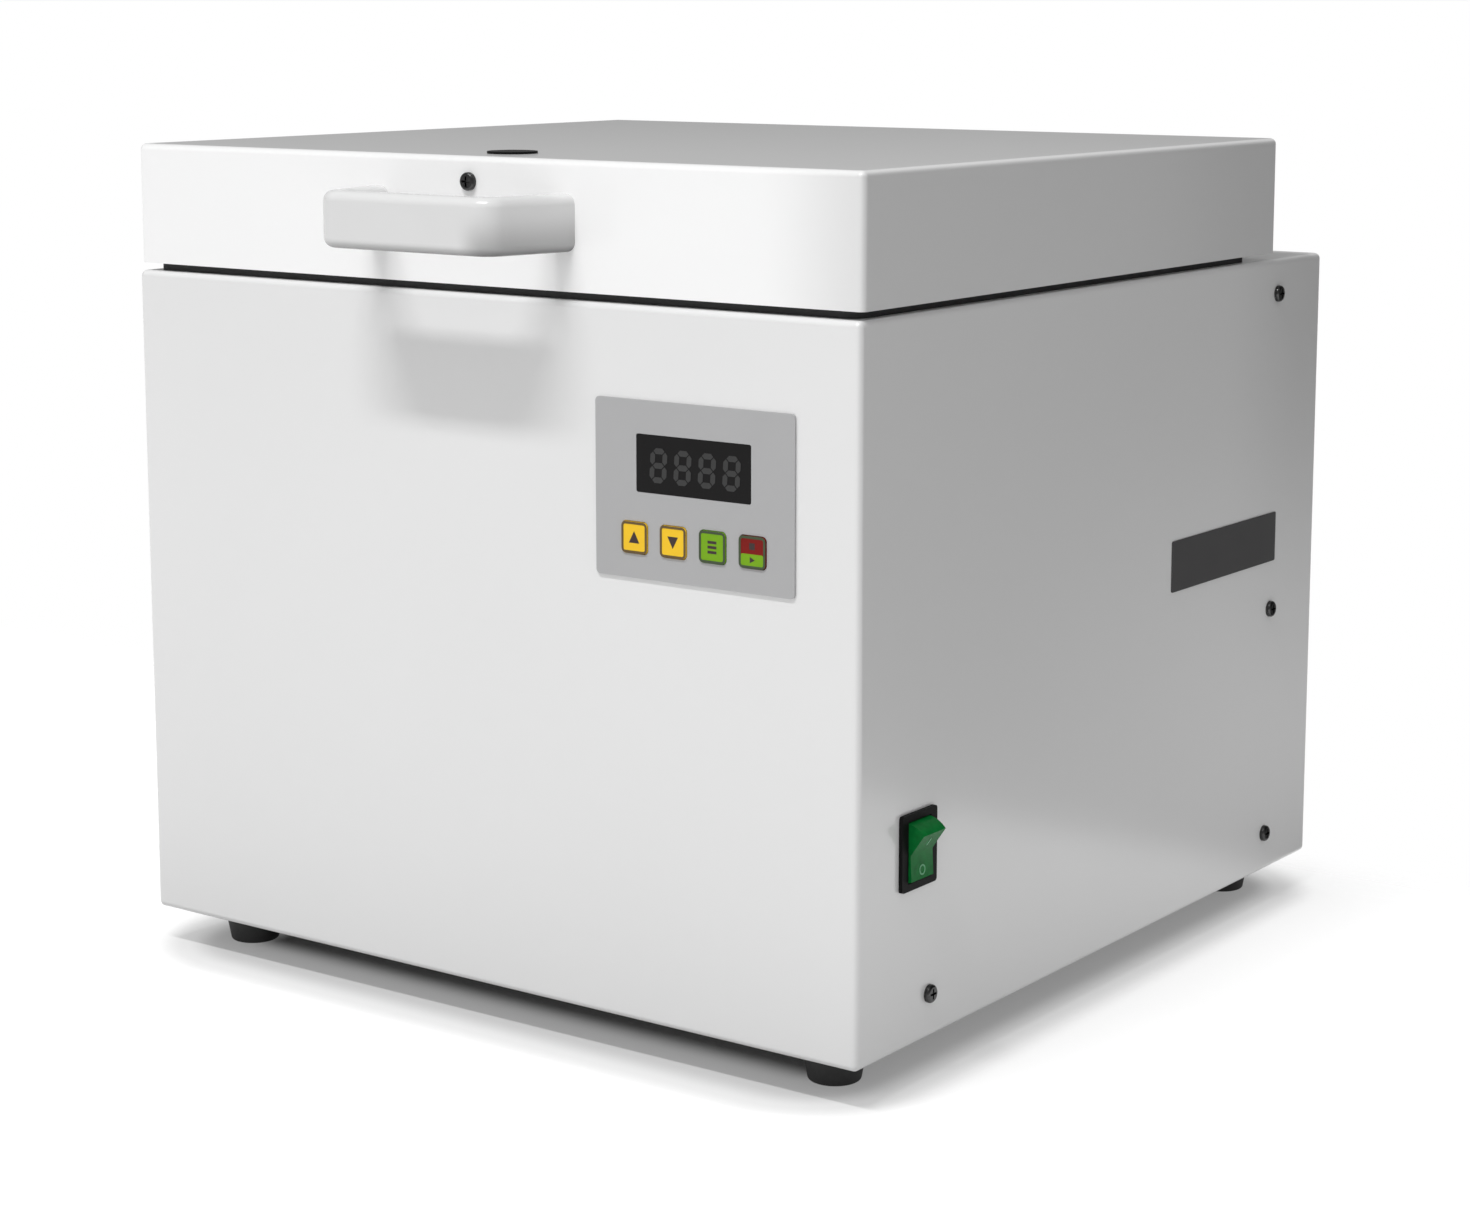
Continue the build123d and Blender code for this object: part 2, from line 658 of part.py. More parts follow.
# ---- Chamber ----
def reflector_tub():
    """The mirrored chamber: a folded aluminium tub that hangs from the deck by its flange."""
    x = tub_x + TUB_WALL
    y = tub_half_y + TUB_WALL
    tub = folded_tray(
        -x,
        x,
        chamber_y - y,
        chamber_y + y,
        tub_floor_z - TUB_WALL,
        deck_under,
        TUB_WALL,
        TUB_BEND_RADIUS,
        "up",
    )
    return tub + outward_flange(x, y, deck_under - TUB_WALL)


def outward_flange(x, y, z):
    """A flat flange around a tub or a reflector, from its half sizes and its underside."""
    seat = (0, chamber_y, z)
    outside = rounded_plate(
        "+Z", seat, 2 * (x + TUB_FLANGE), 2 * (y + TUB_FLANGE), TUB_WALL, TUB_FLANGE / 2
    )
    inside = rounded_plate("+Z", seat, 2 * x, 2 * y, TUB_WALL, TUB_BEND_RADIUS)
    return outside - inside


def glass_shelf():
    """The loose glass plate that the work stands on."""
    seat = (0, chamber_y, shelf_z - SHELF_THICKNESS)
    width = opening_width - 2 * SHELF_CLEARANCE
    depth = opening_depth - 2 * SHELF_CLEARANCE
    return rounded_plate("+Z", seat, width, depth, SHELF_THICKNESS, SHELF_CORNER_RADIUS)


def shelf_brackets():
    """Four angle brackets on the tub's front and rear walls, between the floor lamps."""
    top = shelf_z - SHELF_THICKNESS - SEAT_GAP
    brackets = []
    for x in (-LAMP_PITCH, LAMP_PITCH):
        for side in (-1, 1):
            upright = block(
                -BRACKET_WIDTH / 2, BRACKET_WIDTH / 2, -BRACKET_THICKNESS, 0, -BRACKET_HEIGHT, 0
            )
            ledge = block(
                -BRACKET_WIDTH / 2, BRACKET_WIDTH / 2, -BRACKET_REACH, 0, -BRACKET_THICKNESS, 0
            )
            turned = Rot(0, 0, 0 if side == 1 else 180) * (upright + ledge)
            brackets.append(Pos(x, chamber_y + side * tub_half_y, top) * turned)
    return group(brackets)


# ---- Lamps ----
def lamp():
    """A twin-tube lamp with its cap's end at Y = 0 and its tubes side by side towards -Y."""
    glass_length = lamp_length - CAP_LENGTH
    glass = None
    for x in (-TUBE_SPACING / 2, TUBE_SPACING / 2):
        tube = rod("-Y", (x, -CAP_LENGTH, 0), TUBE_RADIUS, glass_length)
        tip = tube.edges().filter_by(GeomType.CIRCLE).sort_by(Axis.Y)[0]
        tube = fillet(tip, TUBE_TIP_ROUND)
        glass = tube if glass is None else glass + tube
    bridge_y = BRIDGE_SETBACK - lamp_length
    glass += rod("+X", (-TUBE_SPACING / 2, bridge_y, 0), BRIDGE_RADIUS, TUBE_SPACING)
    cap = block(
        -CAP_WIDTH / 2,
        CAP_WIDTH / 2,
        -CAP_LENGTH,
        0,
        -CAP_THICKNESS / 2,
        CAP_THICKNESS / 2,
    )
    cap = fillet(cap.edges().filter_by(Axis.Y), CAP_ROUND)
    return group([glass, cap])


def lamp_holder():
    """The socket behind a lamp's cap, with its foot on the reflector."""
    x = HOLDER_WIDTH / 2
    z = HOLDER_THICKNESS / 2
    holder = block(-x, x, 0, HOLDER_LENGTH, -z, z)
    foot_x = HOLDER_FOOT_WIDTH / 2
    return holder + block(
        -foot_x, foot_x, 0, HOLDER_LENGTH - TUB_BEND_RADIUS, -LAMP_STANDOFF, -z
    )


def lamp_clip():
    """The spring clip that holds a lamp's tubes near their tips."""
    x = CLIP_WIDTH / 2
    y0 = CLIP_SETBACK - lamp_length
    clip = block(-x, x, y0, y0 + CLIP_LENGTH, -LAMP_STANDOFF, CLIP_WRAP)
    for tube_x in (-TUBE_SPACING / 2, TUBE_SPACING / 2):
        start = (tube_x, y0 - CLIP_LENGTH, 0)
        clip -= rod("+Y", start, TUBE_RADIUS + CLIP_CLEARANCE, 3 * CLIP_LENGTH)
    return clip


# ---- Inside the cabinet ----
def ballasts():
    """Lamp ballasts in rows on the base pan, each a case with a mounting ear at both ends."""
    x = BALLAST_WIDTH / 2
    y = BALLAST_LENGTH / 2
    case = block(-x, x, -y, y, 0, BALLAST_HEIGHT)
    case += block(-x, x, -y - BALLAST_EAR, y + BALLAST_EAR, 0, BALLAST_EAR_THICKNESS)
    for side in (-1, 1):
        ear_y = side * (y + BALLAST_EAR / 2)
        case -= rod("+Z", (0, ear_y, 0), CLEARANCE_HOLE_RADIUS, BALLAST_EAR_THICKNESS)
    cases = []
    for column in range(BALLAST_COLUMNS):
        for row in range(BALLAST_ROWS):
            place_x = (column - (BALLAST_COLUMNS - 1) / 2) * BALLAST_PITCH_X
            place_y = chamber_y + (row - (BALLAST_ROWS - 1) / 2) * BALLAST_PITCH_Y
            cases.append(Pos(place_x, place_y, pan_top) * case)
    return group(cases)


def interlock_sensor():
    """The lid switch under the deck."""
    width, depth, height = SENSOR_SIZE
    y = front_y + INTERLOCK_SETBACK
    return Pos(INTERLOCK_X, y, deck_under - height / 2) * Box(width, depth, height)


def interlock_magnet():
    """The magnet on the lid's inner frame, above the lid switch."""
    width, depth, height = MAGNET_SIZE
    y = front_y + INTERLOCK_SETBACK
    return Pos(INTERLOCK_X, y, lid_frame_top + height / 2) * Box(width, depth, height)


# ---- Control panel ----
def key_places():
    """The middle of each key's seat on the cabinet's front, with the key's name."""
    row = spread(len(KEY_NAMES), KEY_PITCH)
    return {name: (panel_x + x, front_y, key_z) for name, x in zip(KEY_NAMES, row)}


def control_panel():
    """The grey overlay plate with the display's window and a hole for each key."""
    seat = (panel_x, front_y, panel_z)
    panel = rounded_plate(
        "-Y", seat, PANEL_WIDTH, PANEL_HEIGHT, PANEL_THICKNESS, PANEL_CORNER_RADIUS
    )
    panel -= cutter(
        "-Y",
        (panel_x, front_y, display_z),
        DISPLAY_WIDTH,
        DISPLAY_HEIGHT,
        2 * PANEL_THICKNESS,
        CUTOUT_MARGIN,
    )
    for place in key_places().values():
        panel -= cutter(
            "-Y",
            place,
            KEY_WIDTH + 2 * KEY_CLEARANCE,
            KEY_HEIGHT + 2 * KEY_CLEARANCE,
            2 * PANEL_THICKNESS,
            KEY_CORNER_RADIUS + KEY_CLEARANCE,
        )
    return panel


def display_lens():
    """The dark window in front of the digits."""
    return rounded_plate(
        "-Y",
        (panel_x, front_y, display_z),
        DISPLAY_WIDTH - 2 * LENS_CLEARANCE,
        DISPLAY_HEIGHT - 2 * LENS_CLEARANCE,
        LENS_THICKNESS,
        CUTOUT_MARGIN - LENS_CLEARANCE,
    )


def display_module():
    """The four-digit display between the board and the window."""
    x = MODULE_WIDTH / 2
    z = MODULE_HEIGHT / 2
    return block(
        panel_x - x, panel_x + x, front_y + MODULE_GAP, board_y, display_z - z, display_z + z
    )


def key(place):
    """A key cap with a retaining flange behind the panel and a stem towards its switch."""
    x, y, z = place
    flange_y = y + KEY_PLAY
    height = PANEL_THICKNESS + KEY_PROUD + KEY_PLAY
    cap = rounded_plate("-Y", (x, flange_y, z), KEY_WIDTH, KEY_HEIGHT, height, KEY_CORNER_RADIUS)
    flange = rounded_plate(
        "+Y",
        (x, flange_y, z),
        KEY_WIDTH + 2 * KEY_FLANGE,
        KEY_HEIGHT + 2 * KEY_FLANGE,
        KEY_FLANGE_THICKNESS,
        KEY_CORNER_RADIUS,
    )
    stem_end = BOARD_SETBACK - TACT_HEIGHT - KEY_TRAVEL - SEAT_GAP
    return cap + flange + rod("+Y", (x, flange_y, z), KEY_STEM_RADIUS, stem_end - KEY_PLAY)


def control_board():
    """The circuit board behind the panel, with a push switch behind each key."""
    x = BOARD_WIDTH / 2
    z = BOARD_HEIGHT / 2
    board = block(
        panel_x - x, panel_x + x, board_y, board_y + BOARD_THICKNESS, panel_z - z, panel_z + z
    )
    for place_x, place_y, place_z in key_places().values():
        seat = (place_x, board_y, place_z)
        board += Pos(*seat) * TURN["-Y"] * Pos(0, 0, TACT_HEIGHT / 2) * Box(
            TACT_SIZE, TACT_SIZE, TACT_HEIGHT
        )
    return board


def board_spacers():
    """Four pillars between the casing's front and the board."""
    x = BOARD_WIDTH / 2 - SPACER_INSET
    z = BOARD_HEIGHT / 2 - SPACER_INSET
    start_y = front_y + SHEET
    corners = [(panel_x + i * x, start_y, panel_z + j * z) for i in (-1, 1) for j in (-1, 1)]
    return group([rod("+Y", corner, SPACER_RADIUS, board_y - start_y) for corner in corners])


# ---- Rocker switch ----
def switch_housing():
    """The switch's bezel and body, with the cavity that the rocker turns in."""
    seat = (side_x, switch_y, switch_z)
    housing = rounded_plate(
        "+X", seat, BEZEL_HEIGHT, BEZEL_WIDTH, BEZEL_THICKNESS, BEZEL_CORNER_RADIUS
    )
    housing += rounded_plate(
        "-X", seat, SWITCH_BODY_HEIGHT, SWITCH_BODY_WIDTH, SWITCH_BODY_DEPTH, BEZEL_CORNER_RADIUS
    )
    reach = ROCKER_END_RADIUS + ROCKER_GAP
    half = ROCKER_WIDTH / 2 + ROCKER_GAP
    housing -= rod("+Y", (pivot_x, switch_y - half, switch_z), reach, 2 * half)
    housing -= block(
        pivot_x,
        side_x + 2 * BEZEL_THICKNESS,
        switch_y - half,
        switch_y + half,
        switch_z - reach,
        switch_z + reach,
    )
    bore_half = half + AXLE_REACH
    bore_start = (pivot_x, switch_y - bore_half, switch_z)
    return housing - rod("+Y", bore_start, AXLE_RADIUS + SHAFT_CLEARANCE, 2 * bore_half)


def switch_rocker():
    """The rocker on its axle, with its lower end pressed in."""
    half = ROCKER_END_RADIUS
    outline = Polyline(
        (-ROCKER_DEPTH, -half),
        (ROCKER_CREST, -half),
        (ROCKER_VALLEY, 0),
        (ROCKER_CREST, half),
        (-ROCKER_DEPTH, half),
        close=True,
    )
    face = make_face(outline) & Circle(ROCKER_END_RADIUS)
    rocker = extrude(face, ROCKER_WIDTH / 2, both=True)
    rocker += Cylinder(AXLE_RADIUS, ROCKER_WIDTH + 2 * AXLE_REACH)
    return Pos(pivot_x, switch_y, switch_z) * Rot(90, 0, 0) * Rot(0, 0, -ROCKER_TILT) * rocker


# ---- Mains inlet ----
def power_inlet():
    """The three-pole inlet in the rear panel, with a slot for its fuse drawer."""
    seat = (inlet_x, rear_y, inlet_z)
    inlet = rounded_plate(
        "+Y", seat, INLET_WIDTH, INLET_HEIGHT, INLET_FLANGE, INLET_CORNER_RADIUS
    )
    inlet += rounded_plate(
        "-Y", seat, INLET_BODY_WIDTH, INLET_BODY_HEIGHT, INLET_BODY_DEPTH, INLET_CORNER_RADIUS
    )
    face_y = rear_y + INLET_FLANGE
    floor_y = face_y - SOCKET_DEPTH
    socket_z = inlet_z + SOCKET_RISE
    x = SOCKET_WIDTH / 2
    z = SOCKET_HEIGHT / 2
    socket = block(
        inlet_x - x, inlet_x + x, floor_y, face_y, socket_z - z, socket_z + z
    )
    upper = socket.edges().filter_by(Axis.Y).sort_by(Axis.Z)[-2:]
    inlet -= chamfer(upper, SOCKET_CHAMFER)
    contacts = ((-CONTACT_PITCH, 0), (0, EARTH_RISE), (CONTACT_PITCH, 0))
    for contact_x, contact_z in contacts:
        place = (inlet_x + contact_x, floor_y, socket_z + contact_z)
        inlet += Pos(*place) * TURN["+Y"] * Pos(0, 0, CONTACT_LENGTH / 2) * Box(
            CONTACT_WIDTH, CONTACT_HEIGHT, CONTACT_LENGTH
        )
    slot_x = DRAWER_WIDTH / 2 + DRAWER_CLEARANCE
    slot_z = DRAWER_HEIGHT / 2 + DRAWER_CLEARANCE
    drawer_z = inlet_z - DRAWER_DROP
    slot_floor = face_y - DRAWER_DEPTH - DRAWER_CLEARANCE
    return inlet - block(
        inlet_x - slot_x,
        inlet_x + slot_x,
        slot_floor,
        face_y,
        drawer_z - slot_z,
        drawer_z + slot_z,
    )


def fuse_drawer():
    """The drawer under the socket, with a lip to pull it by."""
    face_y = rear_y + INLET_FLANGE + DRAWER_CLEARANCE
    drawer_z = inlet_z - DRAWER_DROP
    x = DRAWER_WIDTH / 2
    z = DRAWER_HEIGHT / 2
    drawer = block(
        inlet_x - x,
        inlet_x + x,
        face_y - DRAWER_DEPTH,
        face_y,
        drawer_z - z,
        drawer_z + z,
    )
    lip_x = x + DRAWER_LIP
    lip_z = z + DRAWER_LIP
    return drawer + block(
        inlet_x - lip_x,
        inlet_x + lip_x,
        face_y,
        face_y + DRAWER_LIP_THICKNESS,
        drawer_z - lip_z,
        drawer_z + lip_z,
    )


# ---- Fan ----
def fan_frame():
    """The fan's square frame against the rear panel, with its hub, struts and bearing."""
    seat = (fan_x, back_y, fan_z)
    frame = rounded_plate("-Y", seat, FAN_SIZE, FAN_SIZE, FAN_DEPTH, FAN_CORNER_RADIUS)
    frame -= rod("-Y", seat, FAN_BORE_RADIUS, FAN_DEPTH)
    bar = Box(FAN_BORE_RADIUS + FAN_SIZE / 2, FAN_STRUT_WIDTH, FAN_HUB_THICKNESS)
    struts = bar + Rot(0, 0, 90) * bar
    frame += Pos(*seat) * TURN["-Y"] * Pos(0, 0, FAN_HUB_THICKNESS / 2) * struts
    frame += rod("-Y", seat, FAN_HUB_RADIUS, FAN_HUB_THICKNESS)
    bearing_length = FAN_DEPTH - 2 * ROTOR_END_GAP - ROTOR_WALL
    frame += rod("-Y", seat, BEARING_RADIUS, bearing_length)
    bore_start = (fan_x, back_y - FAN_HUB_THICKNESS / 2, fan_z)
    frame -= rod("-Y", bore_start, SHAFT_RADIUS + SHAFT_CLEARANCE, FAN_DEPTH)
    for place, way in fan_screw_places():
        frame -= screw_hole(place, way, TAPPED_RADIUS)
    return frame


def fan_rotor():
    """The rotor: a cup with its shaft inside and its blades around it."""
    length = FAN_DEPTH - FAN_HUB_THICKNESS - 2 * ROTOR_END_GAP
    cup = Pos(0, 0, length / 2) * Cylinder(ROTOR_RADIUS, length)
    hollow = length - ROTOR_WALL
    cup -= Pos(0, 0, hollow / 2) * Cylinder(ROTOR_RADIUS - ROTOR_WALL, hollow)
    blade_length = BLADE_TIP_RADIUS - ROTOR_RADIUS + ROTOR_WALL
    blade = Box(blade_length, BLADE_CHORD, BLADE_THICKNESS)
    blade = Pos(BLADE_TIP_RADIUS - blade_length / 2, 0, length / 2) * Rot(BLADE_PITCH, 0, 0) * blade
    swept = Pos(0, 0, length / 2) * Cylinder(BLADE_TIP_RADIUS, length)
    swept -= Pos(0, 0, length / 2) * Cylinder(ROTOR_RADIUS - ROTOR_WALL / 2, length)
    blade = blade & swept
    for i in range(BLADE_COUNT):
        cup += Rot(0, 0, i * 360 / BLADE_COUNT) * blade
    shaft_length = length + ROTOR_END_GAP
    cup += Pos(0, 0, length - shaft_length / 2) * Cylinder(SHAFT_RADIUS, shaft_length)
    start_y = back_y - FAN_HUB_THICKNESS - ROTOR_END_GAP
    return Pos(fan_x, start_y, fan_z) * TURN["-Y"] * cup


def fan_guard():
    """The wire guard outside the rear panel: rings on four spokes, with a lug at each screw."""
    wire = GUARD_WIRE_RADIUS
    spoke_z = GUARD_STANDOFF + wire
    lug_x = FAN_HOLE_PITCH / sqrt(2)
    spoke_x0 = GUARD_RINGS[0]
    spoke_x1 = lug_x - (GUARD_LUG_RADIUS + SCREW_HEAD_RADIUS) / 2
    spoke = rod("+X", (spoke_x0, 0, spoke_z), wire, spoke_x1 - spoke_x0)
    spoke += rod("+Z", (lug_x, 0, 0), GUARD_LUG_RADIUS, GUARD_LUG_THICKNESS)
    spoke -= rod("+Z", (lug_x, 0, 0), CLEARANCE_HOLE_RADIUS, GUARD_LUG_THICKNESS)
    guard = spoke.rotate(Axis.Z, 45)
    for i in range(1, 4):
        guard += spoke.rotate(Axis.Z, 45 + 90 * i)
    for radius in GUARD_RINGS:
        guard += Pos(0, 0, spoke_z + 2 * wire - GUARD_WELD) * Torus(radius, wire)
    return Pos(fan_x, rear_y, fan_z) * TURN["+Y"] * guard


# ---- Lid ----
def lid_shell():
    """The lid's cover: a deep folded tray that opens downwards."""
    shell = folded_tray(
        -side_x, side_x, lid_front, lid_back, lid_z, lid_top, SHEET, BEND_RADIUS, "down"
    )
    for place, way in lid_screw_places():
        shell -= screw_hole(place, way, CLEARANCE_HOLE_RADIUS)
    plug_radius = PLUG_STEM_RADIUS + PLUG_CLEARANCE
    plug_start = (0, front_y + PLUG_SETBACK, lid_top - 2 * SHEET)
    return shell - rod("+Z", plug_start, plug_radius, 3 * SHEET)


def lid_inner_frame():
    """The frame inside the lid that carries the glass pane and takes the lid's front screw."""
    frame = folded_tray(
        -inner_x,
        inner_x,
        lid_front + SHEET,
        lid_back - SHEET,
        lid_z,
        lid_z + LID_FRAME_FLANGE,
        SHEET,
        BEND_RADIUS - SHEET / 2,
        "up",
    )
    frame -= cutter(
        "+Z", (0, chamber_y, lid_z), window_width, window_depth, 2 * SHEET, LID_WINDOW_CORNER_RADIUS
    )
    tab_x = LID_TAB_WIDTH / 2
    tab_top = lid_z + LID_SCREW_HEIGHT + LID_TAB_MARGIN
    frame += block(
        -tab_x, tab_x, lid_front + SHEET, lid_front + 2 * SHEET, lid_z + 2 * SHEET, tab_top
    )
    return frame - screw_hole(*lid_screw_places()[0], TAPPED_RADIUS)


def lid_reflector():
    """The mirrored tray over the lid's lamps."""
    x = lid_reflector_x + TUB_WALL
    y = lid_reflector_half_y + TUB_WALL
    tray = folded_tray(
        -x,
        x,
        chamber_y - y,
        chamber_y + y,
        lid_frame_top,
        lid_reflector_z + TUB_WALL,
        TUB_WALL,
        TUB_BEND_RADIUS,
        "down",
    )
    return tray + outward_flange(x, y, lid_frame_top)


def lid_pane():
    """The glass under the lid's lamps."""
    seat = (0, chamber_y, lid_frame_top)
    width = 2 * lid_pane_x
    depth = 2 * lid_pane_half_y
    return rounded_plate("+Z", seat, width, depth, LID_PANE_THICKNESS, SHELF_CORNER_RADIUS)


def lid_screw_places():
    """The lid's front screw, then the two that hold the handle from inside."""
    handle_x = handle_leg_x(0) - (handle_leg_width + handle_splay * HANDLE_SCREW_DEPTH) / 2
    places = [((0, lid_front, lid_z + LID_SCREW_HEIGHT), "-Y")]
    for x in (-handle_x, handle_x):
        places.append(((x, lid_front + SHEET, handle_z), "+Y"))
    return places


def lid_screws():
    """The lid's front screw and the handle's two screws."""
    (front_place, front_way), *handle_places = lid_screw_places()
    screws = [Pos(*front_place) * TURN[front_way] * pan_screw(SCREW_LENGTH)]
    for place, way in handle_places:
        screws.append(Pos(*place) * TURN[way] * pan_screw(HANDLE_SCREW_DEPTH))
    return group(screws)


def handle_leg_x(reach):
    """The outside of the right leg at a distance in front of the lid."""
    return HANDLE_LENGTH / 2 - handle_splay * reach


def bow_outline(reach, leg_inset, corner_radius):
    """A flat shape in front of the lid that narrows towards its two rounded front corners."""
    back_x = handle_leg_x(0) - leg_inset
    front_x = handle_leg_x(reach) - leg_inset
    outline = Polyline(
        (-back_x, 0), (-front_x, -reach), (front_x, -reach), (back_x, 0), close=True
    )
    face = make_face(outline)
    return fillet(face.vertices().sort_by(Axis.Y)[:2], corner_radius)


def handle():
    """A bow handle: a bar on two splayed legs, all its edges rounded but those on the lid."""
    outer = bow_outline(HANDLE_REACH, 0, HANDLE_CORNER_RADIUS)
    gap = bow_outline(HANDLE_REACH - HANDLE_THICKNESS, handle_leg_width, HANDLE_INNER_RADIUS)
    bow = extrude(outer - gap, HANDLE_HEIGHT / 2, both=True)
    flat = bow.edges().filter_by(GeomType.LINE).filter_by(Axis.Z)
    seat = bow.faces().sort_by(Axis.Y)[-1].edges() + bow.faces().sort_by(Axis.Y)[-2].edges()
    rounded = [edge for edge in bow.edges() if edge not in flat and edge not in seat]
    bow = Pos(0, lid_front, handle_z) * fillet(rounded, HANDLE_EDGE_RADIUS)
    for place, way in lid_screw_places()[1:]:
        depth = HANDLE_SCREW_DEPTH
        bow -= Pos(*place) * TURN[way] * Pos(0, 0, -depth / 2) * Cylinder(TAPPED_RADIUS, depth)
    return bow


def lid_plug():
    """The round blanking plug on the lid's top."""
    seat = (0, front_y + PLUG_SETBACK, lid_top)
    head = rod("+Z", seat, PLUG_RADIUS, PLUG_THICKNESS)
    return head + rod("-Z", seat, PLUG_STEM_RADIUS, PLUG_STEM_LENGTH)


def lid_seal():
    """The flat seal on the deck that the closed lid rests over."""
    x = side_x - SEAL_INSET
    y0 = front_y + SEAL_INSET
    y1 = lid_back - SEAL_REAR_SETBACK
    seat = (0, (y0 + y1) / 2, deck_z)
    height = LID_GAP - SEAT_GAP
    outside = rounded_plate("+Z", seat, 2 * x, y1 - y0, height, SEAL_CORNER_RADIUS)
    inside = rounded_plate(
        "+Z",
        seat,
        2 * (x - SEAL_WIDTH),
        y1 - y0 - 2 * SEAL_WIDTH,
        height,
        SEAL_CORNER_RADIUS,
    )
    return outside - inside


def lid_stops():
    """Two rubber stops on the deck that carry the opened lid."""
    height = open_lid_z - SEAT_GAP - deck_z
    y = hinge_y + STOP_SETBACK
    x = side_x - STOP_INSET
    places = [(side * x, y, deck_z) for side in (-1, 1)]
    return group([rod("+Z", place, STOP_RADIUS, height) for place in places])


# ---- Hinge ----
def knuckle_spans(first):
    """The stretches along X of every other knuckle."""
    pitch = hinge_length / KNUCKLE_COUNT
    spans = []
    for i in range(first, KNUCKLE_COUNT, 2):
        start = -hinge_length / 2 + i * pitch + KNUCKLE_END_GAP / 2
        spans.append((start, start + pitch - KNUCKLE_END_GAP))
    return spans


def hinge_leaf(first, side, turn):
    """One leaf of the piano hinge: a strip below (side -1) or above (side 1) the pin's level,
    with tabs that run to every other knuckle."""
    far = side * (KNUCKLE_RADIUS + SEAT_GAP)
    near = far - side * LEAF_THICKNESS
    seat, top = sorted((far, near))
    strip_start = KNUCKLE_RADIUS + KNUCKLE_END_GAP
    half = hinge_length / 2
    leaf = block(-half, half, strip_start, LEAF_WIDTH, seat, top)
    for x0, x1 in knuckle_spans(first):
        leaf += block(x0, x1, 0, strip_start, seat, top)
        leaf += rod("+X", (x0, 0, 0), KNUCKLE_RADIUS, x1 - x0)
    leaf -= rod("+X", (-half, 0, 0), PIN_RADIUS + PIN_CLEARANCE, hinge_length)
    return Pos(0, hinge_y, hinge_z) * turn * leaf


def hinge_pin():
    """The pin through all the knuckles."""
    return rod("+X", (-hinge_length / 2, hinge_y, hinge_z), PIN_RADIUS, hinge_length)


# ---- The whole unit ----
def all_pieces():
    """Every piece of the unit, by name."""
    cabinet_places = {**floor_lamp_places(), **side_lamp_places()}
    lid_places = lid_lamp_places()
    pieces = {
        "outer_casing": outer_casing(),
        "base_pan": base_pan(),
        "rear_panel": rear_panel(),
        "hinge_bulkhead": hinge_bulkhead(),
        "casing_screws": casing_screws(),
        "label_plate": label_plate(),
        "reflector_tub": reflector_tub(),
        "glass_shelf": glass_shelf(),
        "shelf_brackets": shelf_brackets(),
        "ballasts": ballasts(),
        "interlock_sensor": interlock_sensor(),
        "interlock_magnet": interlock_magnet(),
        "control_panel": control_panel(),
        "display_lens": display_lens(),
        "display_module": display_module(),
        "control_board": control_board(),
        "board_spacers": board_spacers(),
        "switch_housing": switch_housing(),
        "switch_rocker": switch_rocker(),
        "power_inlet": power_inlet(),
        "fuse_drawer": fuse_drawer(),
        "fan_frame": fan_frame(),
        "fan_rotor": fan_rotor(),
        "fan_guard": fan_guard(),
        "lid_shell": lid_shell(),
        "lid_inner_frame": lid_inner_frame(),
        "lid_reflector": lid_reflector(),
        "lid_pane": lid_pane(),
        "lid_screws": lid_screws(),
        "handle": handle(),
        "lid_plug": lid_plug(),
        "lid_seal": lid_seal(),
        "lid_stops": lid_stops(),
        "hinge_fixed_leaf": hinge_leaf(0, -1, Rot(0, 0, 0)),
        "hinge_moving_leaf": hinge_leaf(1, 1, Rot(90, 0, 0)),
        "hinge_pin": hinge_pin(),
        "cabinet_lamp_holders": group(at * lamp_holder() for at in cabinet_places.values()),
        "cabinet_lamp_clips": group(at * lamp_clip() for at in cabinet_places.values()),
        "lid_lamp_holders": group(at * lamp_holder() for at in lid_places.values()),
        "lid_lamp_clips": group(at * lamp_clip() for at in lid_places.values()),
    }
    for name, (x, y) in foot_places().items():
        pieces[name] = foot(x, y)
    for name, place in key_places().items():
        pieces[name] = key(place)
    for name, at in {**cabinet_places, **lid_places}.items():
        pieces[name] = at * lamp()
    return pieces


os.makedirs("parts", exist_ok=True)
for piece_name, piece in all_pieces().items():
    export_step(piece, f"parts/{piece_name}.step")
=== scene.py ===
"""Looks of the bench-top light curing unit: powder coat, handle, panel, keys, switch and chamber."""

import json
import math

import bmesh
import bpy
import numpy as np
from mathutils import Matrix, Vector

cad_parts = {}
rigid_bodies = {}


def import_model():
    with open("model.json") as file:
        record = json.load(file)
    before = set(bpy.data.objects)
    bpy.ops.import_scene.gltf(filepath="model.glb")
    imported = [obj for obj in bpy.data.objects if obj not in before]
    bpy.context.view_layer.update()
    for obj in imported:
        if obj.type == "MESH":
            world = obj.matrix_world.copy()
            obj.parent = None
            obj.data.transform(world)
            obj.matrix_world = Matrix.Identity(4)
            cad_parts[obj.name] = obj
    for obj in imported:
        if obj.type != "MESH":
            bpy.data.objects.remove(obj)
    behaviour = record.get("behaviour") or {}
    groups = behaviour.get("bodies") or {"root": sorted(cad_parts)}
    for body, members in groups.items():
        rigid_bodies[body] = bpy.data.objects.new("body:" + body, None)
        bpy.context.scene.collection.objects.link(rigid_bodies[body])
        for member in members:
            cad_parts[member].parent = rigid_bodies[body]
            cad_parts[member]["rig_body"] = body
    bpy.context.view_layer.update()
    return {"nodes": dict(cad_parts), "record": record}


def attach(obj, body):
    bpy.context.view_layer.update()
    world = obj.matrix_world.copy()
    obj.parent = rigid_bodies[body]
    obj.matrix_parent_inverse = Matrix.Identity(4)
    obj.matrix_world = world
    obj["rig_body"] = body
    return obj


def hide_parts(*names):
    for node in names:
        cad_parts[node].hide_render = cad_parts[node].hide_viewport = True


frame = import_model()
nodes = frame["nodes"]
